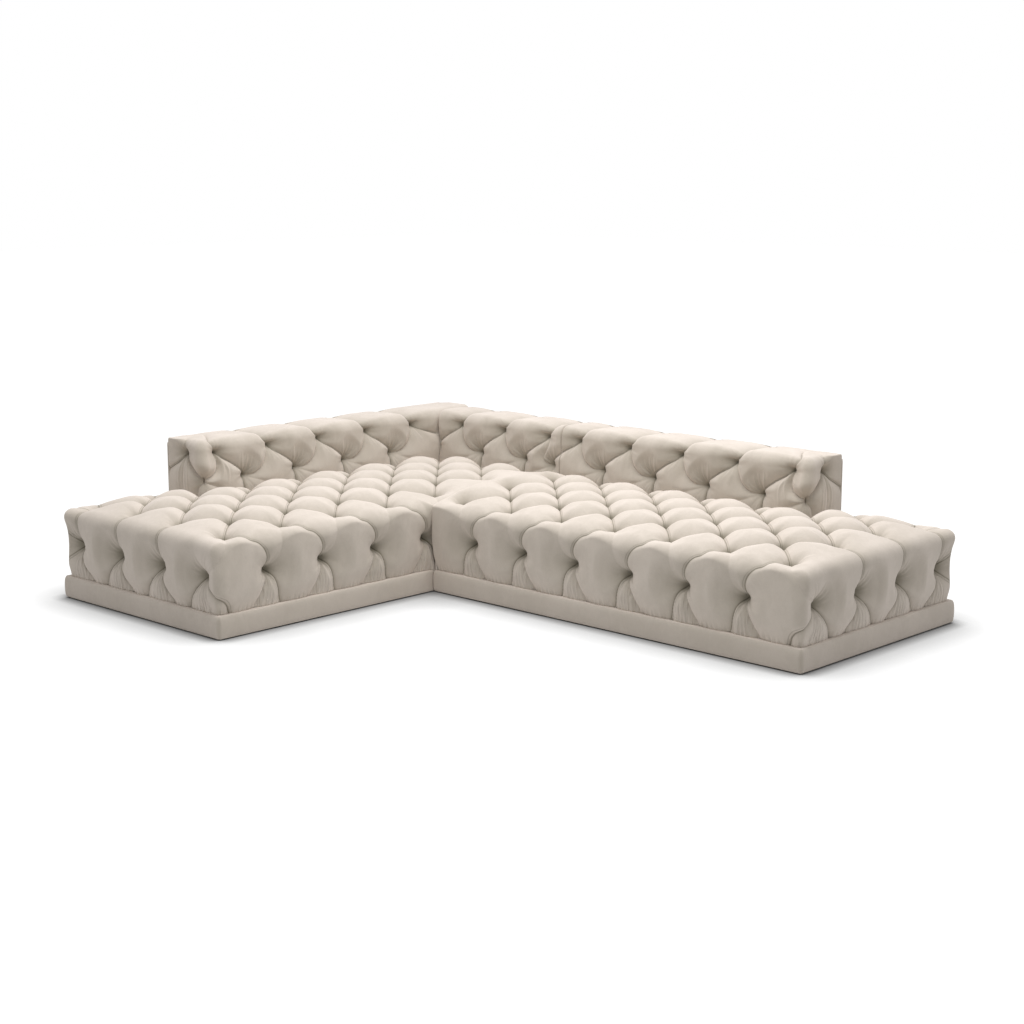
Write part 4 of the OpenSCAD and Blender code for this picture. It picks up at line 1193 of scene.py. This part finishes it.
def ramp_node(tree, value, low, high, to_low=0.0, to_high=1.0):
    """A smooth step of a value from one range to another."""
    node = tree.nodes.new("ShaderNodeMapRange")
    node.interpolation_type = "SMOOTHSTEP"
    for label, number in (("Value", value), ("From Min", low), ("From Max", high), ("To Min", to_low),
                          ("To Max", to_high)):
        feed(tree, node.inputs[label], number)
    return node.outputs["Result"]


def object_place(tree, stretch=(1.0, 1.0, 1.0)):
    """Object coordinates, stretched if asked."""
    where = tree.nodes.new("ShaderNodeTexCoord")
    turn = tree.nodes.new("ShaderNodeMapping")
    turn.inputs["Scale"].default_value = stretch
    tree.links.new(where.outputs["Object"], turn.inputs["Vector"])
    return turn.outputs["Vector"]


def noise_node(tree, place, scale, detail=2.0, roughness=0.5, distortion=0.0):
    """Soft noise that is different at every place."""
    node = tree.nodes.new("ShaderNodeTexNoise")
    for label, value in (("Vector", place), ("Scale", scale), ("Detail", detail),
                         ("Roughness", roughness), ("Distortion", distortion)):
        feed(tree, node.inputs[label], value)
    return node.outputs["Fac"]


# %% Pile: the fine, uneven surface of a cut pile or felt
pile_group, start, end = new_group("pile", [("Scale", 900.0)], ["Height", "Speck"])
spot = object_place(pile_group)
fine = noise_node(pile_group, spot, start.outputs["Scale"], 3.0, 0.6)
coarse_scale = times(pile_group, start.outputs["Scale"], 0.22)
coarse = noise_node(pile_group, spot, coarse_scale, 2.0, 0.5)
both = scaled(pile_group, coarse, 0.6, fine)
pile_group.links.new(both, end.inputs["Height"])
pile_group.links.new(ramp_node(pile_group, coarse, 0.3, 0.7), end.inputs["Speck"])
print("group", pile_group.name, "puts out", [socket.name for socket in end.inputs if socket.name])

# %% Nap: soft patches where the pile leans one way or the other
nap_group, start, end = new_group("nap", [("Scale", 7.0)], ["Shade"])
spot = object_place(nap_group, (1.0, 1.0, 0.7))
broad = noise_node(nap_group, spot, start.outputs["Scale"], 2.0, 0.5, 0.6)
small_scale = times(nap_group, start.outputs["Scale"], 5.0)
small = noise_node(nap_group, spot, small_scale, 2.0, 0.55, 1.2)
mixed = sum_node(nap_group, "ADD", times(nap_group, broad, 0.6), times(nap_group, small, 0.4))
nap_group.links.new(ramp_node(nap_group, mixed, 0.34, 0.66), end.inputs["Shade"])
print("group", nap_group.name, "puts out", [socket.name for socket in end.inputs if socket.name])

# %% Grain: growth rings and fibres of wood, drawn out along the piece
def three_way(tree, start):
    """Object coordinates multiplied by the group's X, Y and Z inputs."""
    spot = object_place(tree)
    stretch = tree.nodes.new("ShaderNodeCombineXYZ")
    for axis in "XYZ":
        tree.links.new(start.outputs[axis], stretch.inputs[axis])
    drawn = tree.nodes.new("ShaderNodeVectorMath")
    drawn.operation = "MULTIPLY"
    tree.links.new(spot, drawn.inputs[0])
    tree.links.new(stretch.outputs["Vector"], drawn.inputs[1])
    return drawn.outputs["Vector"]


grain_group, start, end = new_group("grain", [("X", 1.0), ("Y", 1.0), ("Z", 1.0)], ["Rings", "Fibre"])
drawn = three_way(grain_group, start)
body = noise_node(grain_group, drawn, 3.0, 2.0, 0.5, 0.5)
rings = sum_node(grain_group, "SINE", times(grain_group, body, 46.0))
grain_group.links.new(scaled(grain_group, rings, 0.5, 0.5), end.inputs["Rings"])
fibre = noise_node(grain_group, drawn, 34.0, 3.0, 0.65, 0.2)
grain_group.links.new(ramp_node(grain_group, fibre, 0.3, 0.7), end.inputs["Fibre"])
print("group", grain_group.name, "puts out", [socket.name for socket in end.inputs if socket.name])

# %% Plies: the layers that show on a board's edge
plies_group, start, end = new_group("plies", [("X", 0.0), ("Y", 0.0), ("Z", 1.0), ("Layer", 0.0014)],
                                    ["Layer"])
drawn = three_way(plies_group, start)
apart = plies_group.nodes.new("ShaderNodeSeparateXYZ")
plies_group.links.new(drawn, apart.inputs["Vector"])
depth = sum_node(plies_group, "ADD", sum_node(plies_group, "ADD", apart.outputs["X"], apart.outputs["Y"]),
                 apart.outputs["Z"])
turn = sum_node(plies_group, "DIVIDE", times(plies_group, depth, math.pi), start.outputs["Layer"])
layer = sum_node(plies_group, "SINE", turn)
plies_group.links.new(ramp_node(plies_group, layer, -0.35, 0.35), end.inputs["Layer"])
print("group", plies_group.name, "puts out", [socket.name for socket in end.inputs if socket.name])

# %% Weave: threads that cross over and under
weave_group, start, end = new_group("weave", [("Threads", 1200.0)], ["Height", "Gap"])
apart = weave_group.nodes.new("ShaderNodeSeparateXYZ")
weave_group.links.new(object_place(weave_group), apart.inputs["Vector"])
along = sum_node(weave_group, "ADD", apart.outputs["X"], apart.outputs["Z"])
across = sum_node(weave_group, "ADD", apart.outputs["Y"], apart.outputs["Z"])
count = times(weave_group, start.outputs["Threads"], math.pi)
warp = sum_node(weave_group, "SINE", times(weave_group, along, count))
weft = sum_node(weave_group, "SINE", times(weave_group, across, count))
crossing = times(weave_group, warp, weft)
weave_group.links.new(scaled(weave_group, crossing, 0.5, 0.5), end.inputs["Height"])
open_mesh = sum_node(weave_group, "MAXIMUM", sum_node(weave_group, "ABSOLUTE", warp),
                     sum_node(weave_group, "ABSOLUTE", weft))
weave_group.links.new(ramp_node(weave_group, open_mesh, 0.2, 0.6, 1.0, 0.0), end.inputs["Gap"])
print("group", weave_group.name, "puts out", [socket.name for socket in end.inputs if socket.name])

# %% Scuff: fine scratches and rubbed patches on metal and hard plastic
scuff_group, start, end = new_group("scuff", [("Scale", 60.0)], ["Scratch", "Rub"])
spot = object_place(scuff_group, (1.0, 9.0, 1.0))
scratch = noise_node(scuff_group, spot, times(scuff_group, start.outputs["Scale"], 4.0), 4.0, 0.7)
scuff_group.links.new(ramp_node(scuff_group, scratch, 0.52, 0.68), end.inputs["Scratch"])
rub = noise_node(scuff_group, object_place(scuff_group), start.outputs["Scale"], 3.0, 0.6, 0.8)
scuff_group.links.new(ramp_node(scuff_group, rub, 0.4, 0.62), end.inputs["Rub"])
print("group", scuff_group.name, "puts out", [socket.name for socket in end.inputs if socket.name])

# %% [markdown]
# ## Velvet
# The cover is a warm grey velvet. Its pile catches light at a grazing angle, which is the shader's sheen,
# and a painted sheen adds to it: its colour is lighter where the surface turns away from the camera and
# darker where it faces it. Its tone changes at random where the pile is brushed, and painted shade darkens
# it in pits, in deep folds and along creases. The pleats are folds of cloth: their bands, the painted shade
# along their creases and the small gathers under the side tufts follow marks that the cover's mesh carries.
# A drawn texture would have to be fitted to every fold, and the marks are in the right place already.

# %% Starting a material
def linear(r, g, b):
    """A screen colour as the plain amounts of light that shaders use."""
    return tuple((c / 12.92 if c <= 0.04045 else ((c + 0.055) / 1.055) ** 2.4) for c in (r, g, b)) + (1.0,)


def put_group(tree, group, **values):
    """One of the shared groups, with its own numbers."""
    node = tree.nodes.new("ShaderNodeGroup")
    node.node_tree = group
    for label, value in values.items():
        node.inputs[label].default_value = value
    return node


def new_finish(name, roughness):
    """A material with its node tree and its shader."""
    material = bpy.data.materials.new(name)
    material.use_nodes = True
    tree = material.node_tree
    shader = tree.nodes["Principled BSDF"]
    shader.inputs["Roughness"].default_value = roughness
    return material, tree, shader


def raised(tree, shader, height, distance):
    """Lights the surface as if the height stood out by the distance in metres."""
    bump = tree.nodes.new("ShaderNodeBump")
    bump.inputs["Distance"].default_value = distance
    tree.links.new(height, bump.inputs["Height"])
    tree.links.new(bump.outputs["Normal"], shader.inputs["Normal"])


# %% Marks that the tufted covers carry
def mark(tree, name):
    """A number that the mesh carries at its points."""
    node = tree.nodes.new("ShaderNodeAttribute")
    node.attribute_name = name
    return node.outputs["Fac"]


def bell(tree, value, sharpness):
    """A line that is strongest where the value is zero."""
    return sum_node(tree, "EXPONENT", times(tree, times(tree, value, value), -sharpness))


def add_pleats(tree, shade, height):
    """The raised band of cloth along each pleat, with painted shade along both its edges and softly round
    its line.
    """
    side = mark(tree, "fold_side")
    near = mark(tree, "fold_near")
    mask = ramp_node(tree, near, 14.0, 19.0, 1.0, 0.0)
    band = times(tree, ramp_node(tree, side, 0.0, 3.5), ramp_node(tree, side, 8.5, 11.5, 1.0, 0.0))
    height = scaled(tree, times(tree, band, mask), 1.8, height)
    # Painted shade: dark lines along both edges of the band and a soft dark zone round the pleat's line.
    inner = bell(tree, side, 0.22)
    outer = times(tree, bell(tree, sum_node(tree, "SUBTRACT", side, 11.0), 0.35), 0.7)
    crease = times(tree, sum_node(tree, "MAXIMUM", inner, outer), mask)
    crease = scaled(tree, bell(tree, near, 0.03), 0.5, crease)
    return times(tree, shade, scaled(tree, crease, -0.34, 1.0)), height


def add_gathers(tree, height):
    """Small waves of cloth across the way that a gather runs."""
    run = mark(tree, "run")
    waver = noise_node(tree, object_place(tree, (1.0, 1.0, 0.25)), 26.0, 1.0, 0.5)
    broad = sum_node(tree, "SINE", scaled(tree, waver, 9.0, times(tree, run, 0.29)))
    fine = sum_node(tree, "SINE", scaled(tree, run, 0.52, times(tree, waver, -14.0)))
    wave = scaled(tree, fine, 0.45, broad)
    return scaled(tree, times(tree, wave, mark(tree, "gather")), 1.25, height)


def paint_shade_in_hollows(tree, shade):
    """Painted shade: darker colour where the cloth is pulled in deep, in pits and deep folds, and where the
    hollow mark is high.
    """
    shade = times(tree, shade, ramp_node(tree, mark(tree, "held"), 0.55, 1.05, 1.0, 0.62))
    return times(tree, shade, scaled(tree, mark(tree, "hollow"), -0.42, 1.0))


# %% Velvet
def velvet(name, colour, folded):
    """A velvet in linear colour. A folded one reads the marks of pleats and gathers."""
    material, tree, shader = new_finish(name, 0.9)
    shader.inputs["Sheen Weight"].default_value = 0.24
    shader.inputs["Sheen Roughness"].default_value = 0.30
    shader.inputs["Sheen Tint"].default_value = linear(0.96, 0.93, 0.90)
    shader.inputs["Specular IOR Level"].default_value = 0.12
    pile = put_group(tree, pile_group, Scale=900.0)
    nap = put_group(tree, nap_group, Scale=6.0)
    shade = scaled(tree, nap.outputs["Shade"], 0.075, 0.945)
    shade = scaled(tree, pile.outputs["Speck"], 0.03, shade)
    # Painted sheen: the colour is made lighter where the surface turns away from the camera and darker
    # where it faces it.
    angle = tree.nodes.new("ShaderNodeLayerWeight")
    angle.inputs["Blend"].default_value = 0.5
    shade = times(tree, shade, scaled(tree, angle.outputs["Facing"], 0.50, 0.82))
    height = times(tree, pile.outputs["Height"], 0.10)
    if folded:
        shade, height = add_pleats(tree, shade, height)
        height = add_gathers(tree, height)
        shade = paint_shade_in_hollows(tree, shade)
    tone = tree.nodes.new("ShaderNodeMix")
    tone.data_type = "RGBA"
    tone.blend_type = "MULTIPLY"
    tone.inputs[0].default_value = 1.0
    tone.inputs[6].default_value = colour
    grey = tree.nodes.new("ShaderNodeCombineColor")
    tree.links.new(shade, grey.inputs["Red"])
    tree.links.new(shade, grey.inputs["Green"])
    tree.links.new(sum_node(tree, "POWER", shade, 1.12), grey.inputs["Blue"])
    tree.links.new(grey.outputs["Color"], tone.inputs[7])
    tree.links.new(tone.outputs[2], shader.inputs["Base Color"])
    tree.links.new(ramp_node(tree, nap.outputs["Shade"], 0.0, 1.0, 0.95, 0.82), shader.inputs["Roughness"])
    raised(tree, shader, height, 0.001)
    return material


cloth_colour = linear(0.795, 0.757, 0.714)
tufted_velvet = velvet("velvet_tufted", cloth_colour, True)
outside_velvet = velvet("velvet_outside", cloth_colour, False)
# The plinth's velvet is the same cloth as the cover, with its colour darkened a little as painted shade.
painted_shade_plinth_velvet = velvet("velvet_plinth", linear(0.755, 0.718, 0.676), False)
print("velvets", tufted_velvet.name, outside_velvet.name, painted_shade_plinth_velvet.name)

# %% Dressing the padded pieces
def dress(piece, material, body, node):
    """Gives a piece its finish, ties it to its body and hides the solid that it stands for."""
    mesh = piece.data
    mesh.materials.clear()
    mesh.materials.append(material)
    mesh.polygons.foreach_set("material_index", np.zeros(len(mesh.polygons), dtype=np.int32))
    mesh.polygons.foreach_set("use_smooth", np.ones(len(mesh.polygons), dtype=bool))
    mesh.update()
    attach(piece, body)
    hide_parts(node)


pads = [
    (left_seat, "corner_unit", "left_seat_pad"),
    (right_seat, "straight_unit", "right_seat_pad"),
    (side_back, "corner_unit", "side_back_pad"),
    (rear_back, "corner_unit", "rear_back_pad"),
    (right_back, "straight_unit", "right_back_pad"),
]
bands = [
    (left_band, "corner_unit", "left_plinth_band"),
    (right_band, "straight_unit", "right_plinth_band"),
]
for piece, body, node in pads:
    dress(piece, tufted_velvet, body, node)
for piece, body, node in bands:
    dress(piece, painted_shade_plinth_velvet, body, node)
for piece, body, node in covers:
    dress(piece, outside_velvet, body, node)
for piece, body in linings:
    piece.data.materials.append(outside_velvet)
    bpy.ops.object.select_all(action="DESELECT")
    bpy.context.view_layer.objects.active = piece
    piece.select_set(True)
    bpy.ops.object.shade_smooth_by_angle(angle=math.radians(50.0))
    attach(piece, body)
print("dressed", len(pads + bands + covers + linings), "pieces")

# %% [markdown]
# ## Frame, foam and fittings
# Under the cover is what a frame shop builds: planed timber with its grain along each rail, plywood with
# its layers on the edges, cut foam, woven straps, black underside cloth, plated steel and nylon glides.
# These solids keep their shape from the frame model, and each gets a finish in its material slot. The grain
# and the layers are worked out in the object's own coordinates, so they need no unwrapping.

# %% Colours and roughness that change over a surface
def blend(tree, share, low, high):
    """A colour between two, by a share that changes over the surface."""
    mix = tree.nodes.new("ShaderNodeMix")
    mix.data_type = "RGBA"
    for place, value in ((0, share), (6, low), (7, high)):
        feed(tree, mix.inputs[place], value)
    return mix.outputs[2]


def coloured(tree, shader, share, low, high):
    """Gives the shader a colour between two."""
    tree.links.new(blend(tree, share, low, high), shader.inputs["Base Color"])


def roughened(tree, shader, share, low, high):
    """Gives the shader a roughness between two."""
    tree.links.new(ramp_node(tree, share, 0.0, 1.0, low, high), shader.inputs["Roughness"])


# %% Timber, with its grain along X, Y or Z
def timber(axis):
    material, tree, shader = new_finish("timber_along_" + axis.lower(), 0.62)
    drawn_out = {way: 1.0 if way == axis else 13.0 for way in "XYZ"}
    grain = put_group(tree, grain_group, **drawn_out)
    fibre = grain.outputs["Fibre"]
    ringed = blend(tree, grain.outputs["Rings"], linear(0.80, 0.66, 0.47), linear(0.71, 0.54, 0.35))
    coloured(tree, shader, fibre, ringed, linear(0.77, 0.62, 0.43))
    roughened(tree, shader, fibre, 0.52, 0.7)
    raised(tree, shader, fibre, 0.0003)
    return material


timbers = {axis: timber(axis) for axis in "XYZ"}
print("timbers", [material.name for material in timbers.values()])


# %% Plywood, with its layers across X, Y or Z
def plywood(axis):
    material, tree, shader = new_finish("plywood_across_" + axis.lower(), 0.6)
    stacked = {way: 1.0 if way == axis else 0.0 for way in "XYZ"}
    plies = put_group(tree, plies_group, **stacked)
    grain = put_group(tree, grain_group, X=9.0 if axis == "X" else 1.0, Y=9.0,
                      Z=9.0 if axis == "Z" else 2.0)
    face = blend(tree, grain.outputs["Rings"], linear(0.83, 0.72, 0.55), linear(0.77, 0.64, 0.45))
    coloured(tree, shader, plies.outputs["Layer"], linear(0.60, 0.45, 0.28), face)
    roughened(tree, shader, grain.outputs["Fibre"], 0.5, 0.72)
    raised(tree, shader, grain.outputs["Fibre"], 0.0003)
    return material


boards = {axis: plywood(axis) for axis in "XYZ"}
print("boards", [material.name for material in boards.values()])

# %% Foam
foam, tree, shader = new_finish("foam_cut", 0.9)
shader.inputs["Specular IOR Level"].default_value = 0.15
cells = tree.nodes.new("ShaderNodeTexVoronoi")
cells.inputs["Scale"].default_value = 420.0
tree.links.new(object_place(tree), cells.inputs["Vector"])
open_cell = ramp_node(tree, cells.outputs["Distance"], 0.1, 0.6)
aged = put_group(tree, nap_group, Scale=5.0)
pale = blend(tree, aged.outputs["Shade"], linear(0.86, 0.78, 0.54), linear(0.92, 0.86, 0.66))
coloured(tree, shader, open_cell, linear(0.70, 0.61, 0.40), pale)
raised(tree, shader, open_cell, 0.0012)
print("finish", foam.name)

# %% Woven straps
webbing, tree, shader = new_finish("strap_woven", 0.8)
woven = put_group(tree, weave_group, Threads=700.0)
faded = put_group(tree, nap_group, Scale=9.0)
dark = blend(tree, faded.outputs["Shade"], linear(0.12, 0.12, 0.13), linear(0.20, 0.20, 0.21))
coloured(tree, shader, woven.outputs["Gap"], dark, linear(0.05, 0.05, 0.055))
raised(tree, shader, woven.outputs["Height"], 0.0007)
print("finish", webbing.name)

# %% Underside cloth
dust_cloth, tree, shader = new_finish("underside_cloth", 0.88)
shader.inputs["Sheen Weight"].default_value = 0.1
woven = put_group(tree, weave_group, Threads=420.0)
felted = put_group(tree, pile_group, Scale=500.0)
speckled = blend(tree, felted.outputs["Speck"], linear(0.09, 0.09, 0.095), linear(0.16, 0.16, 0.165))
coloured(tree, shader, woven.outputs["Gap"], speckled, linear(0.06, 0.06, 0.065))
raised(tree, shader, sum_node(tree, "ADD", woven.outputs["Height"], felted.outputs["Height"]), 0.0004)
print("finish", dust_cloth.name)


# %% Plated steel and nylon, which share scratches and rubbed patches
def scuffed(name, scale, clean, rubbed, scratched, smoothest, roughest):
    """A hard finish whose colours are given clean, rubbed and scratched."""
    material, tree, shader = new_finish(name, smoothest)
    worn = put_group(tree, scuff_group, Scale=scale)
    base = blend(tree, worn.outputs["Rub"], clean, rubbed)
    coloured(tree, shader, worn.outputs["Scratch"], base, scratched)
    roughened(tree, shader, worn.outputs["Rub"], smoothest, roughest)
    raised(tree, shader, worn.outputs["Scratch"], 0.0001)
    return material, shader


steel, shader = scuffed("steel_plated", 80.0, linear(0.74, 0.75, 0.76), linear(0.64, 0.64, 0.63),
                        linear(0.84, 0.84, 0.84), 0.28, 0.5)
shader.inputs["Metallic"].default_value = 1.0
nylon, shader = scuffed("glide_nylon", 150.0, linear(0.13, 0.13, 0.13), linear(0.19, 0.185, 0.18),
                        linear(0.30, 0.29, 0.28), 0.34, 0.6)
print("finishes", steel.name, nylon.name)


# %% Giving every solid its finish
def finish_for(name, slot):
    """The finish of one solid. Rails run along a unit and cross rails across it."""
    low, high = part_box(name)
    thin = min(range(3), key=lambda axis: high[axis] - low[axis])
    if slot == "timber":
        if "posts" in name or "corner_blocks" in name:
            return timbers["Z"]
        lengthwise = "front_rail" in name or "back_rail" in name
        return timbers["Y" if lengthwise == name.startswith("left") else "X"]
    if slot == "board":
        return boards["XYZ"[thin]]
    return {"foam": foam, "webbing": webbing, "dust_cloth": dust_cloth, "steel": steel,
            "glide": nylon, "tufted_cloth": outside_velvet, "outside_cloth": outside_velvet,
            "plinth_cloth": painted_shade_plinth_velvet}[slot]


finished = {}
for row in frame["record"]["subparts"]:
    name = row["node"]
    finish = finish_for(name, row["material_slot"])
    for slot in frame["nodes"][name].material_slots:
        slot.material = finish
    finished[finish.name] = finished.get(finish.name, 0) + 1
print("solids with each finish", finished)

# %% [markdown]
# ## Floor
# The sofa was photographed on white. The floor is a plain plane that takes the sofa's shadow, and to the
# camera alone it also glows white, except close under an object, where the glow fades as a painted contact
# shadow. A white plane without the glow would need far more light than suits the velvet.

# %% Floor
def seen_share(tree):
    """One for rays that show a thing to the camera, also through a mirror or glass, and zero for light."""
    path = tree.nodes.new("ShaderNodeLightPath")
    seen = sum_node(tree, "MAXIMUM", path.outputs["Is Camera Ray"], path.outputs["Is Glossy Ray"])
    return sum_node(tree, "MAXIMUM", seen, path.outputs["Is Transmission Ray"])


def open_above(tree, distance, power):
    """The share of open space above a point within a distance, sharpened by a power."""
    node = tree.nodes.new("ShaderNodeAmbientOcclusion")
    node.samples = 16
    node.inputs["Distance"].default_value = distance
    return sum_node(tree, "POWER", node.outputs["AO"], power)


bpy.context.scene.view_settings.view_transform = "Standard"
bpy.ops.object.select_all(action="DESELECT")
bpy.ops.mesh.primitive_plane_add(size=60.0, location=(0.0, 0.0, 0.0))
floor = bpy.context.object
floor.name = "floor"
floor_material, tree, shader = new_finish("floor", 1.0)
shader.inputs["Specular IOR Level"].default_value = 0.0
seen = seen_share(tree)
tone = blend(tree, seen, (0.60, 0.60, 0.60, 1.0), (0.25, 0.25, 0.25, 1.0))
tree.links.new(tone, shader.inputs["Base Color"])
# Painted contact shadow: the white glow that the camera sees fades where the sofa closes in over the floor.
painted_shadow_share = times(tree, open_above(tree, 0.34, 1.3), open_above(tree, 0.07, 2.0))
glow = tree.nodes.new("ShaderNodeEmission")
glow.inputs["Color"].default_value = (1.0, 1.0, 1.0, 1.0)
tree.links.new(times(tree, times(tree, seen, painted_shadow_share), 0.88), glow.inputs["Strength"])
both = tree.nodes.new("ShaderNodeAddShader")
tree.links.new(shader.outputs[0], both.inputs[0])
tree.links.new(glow.outputs[0], both.inputs[1])
tree.links.new(both.outputs[0], tree.nodes["Material Output"].inputs["Surface"])
floor.data.materials.append(floor_material)
print("floor", [round(c, 1) for c in floor.dimensions], "m")

# %% [markdown]
# ## Light
# A studio lights such a piece with soft light from all round and one large lamp above it, so that the
# pits and pleats are shaded softly. The background gives the even light and is pure white to the camera.
# One broad lamp overhead makes the tops brighter than the faces. A picture of a studio wrapped round the
# scene could do both, but two plain sources are easier to set.

# %% World
even_light = 0.62
white = 1.0
world = bpy.data.worlds.new("studio")
bpy.context.scene.world = world
world.use_nodes = True
tree = world.node_tree
background = tree.nodes["Background"]
background.inputs["Color"].default_value = (1.0, 1.0, 1.0, 1.0)
choice = tree.nodes.new("ShaderNodeMix")
choice.data_type = "FLOAT"
choice.inputs["A"].default_value = even_light
choice.inputs["B"].default_value = white
tree.links.new(seen_share(tree), choice.inputs["Factor"])
tree.links.new(choice.outputs["Result"], background.inputs["Strength"])
print("world", world.name, even_light)


# %% Lamps
def area_lamp(name, place, aim, size, power):
    lamp = bpy.data.lights.new(name, "AREA")
    lamp.shape = "RECTANGLE"
    lamp.size = size[0]
    lamp.size_y = size[1]
    lamp.energy = power
    obj = bpy.data.objects.new(name, lamp)
    obj.location = place
    obj.rotation_euler = (Vector(aim) - Vector(place)).to_track_quat("-Z", "Y").to_euler()
    bpy.context.scene.collection.objects.link(obj)
    print("lamp", name, power, "W")


area_lamp("overhead", (0.45, -0.12, 4.2), (0.1, 0.1, 0.3), (3.0, 3.0), 138.0)
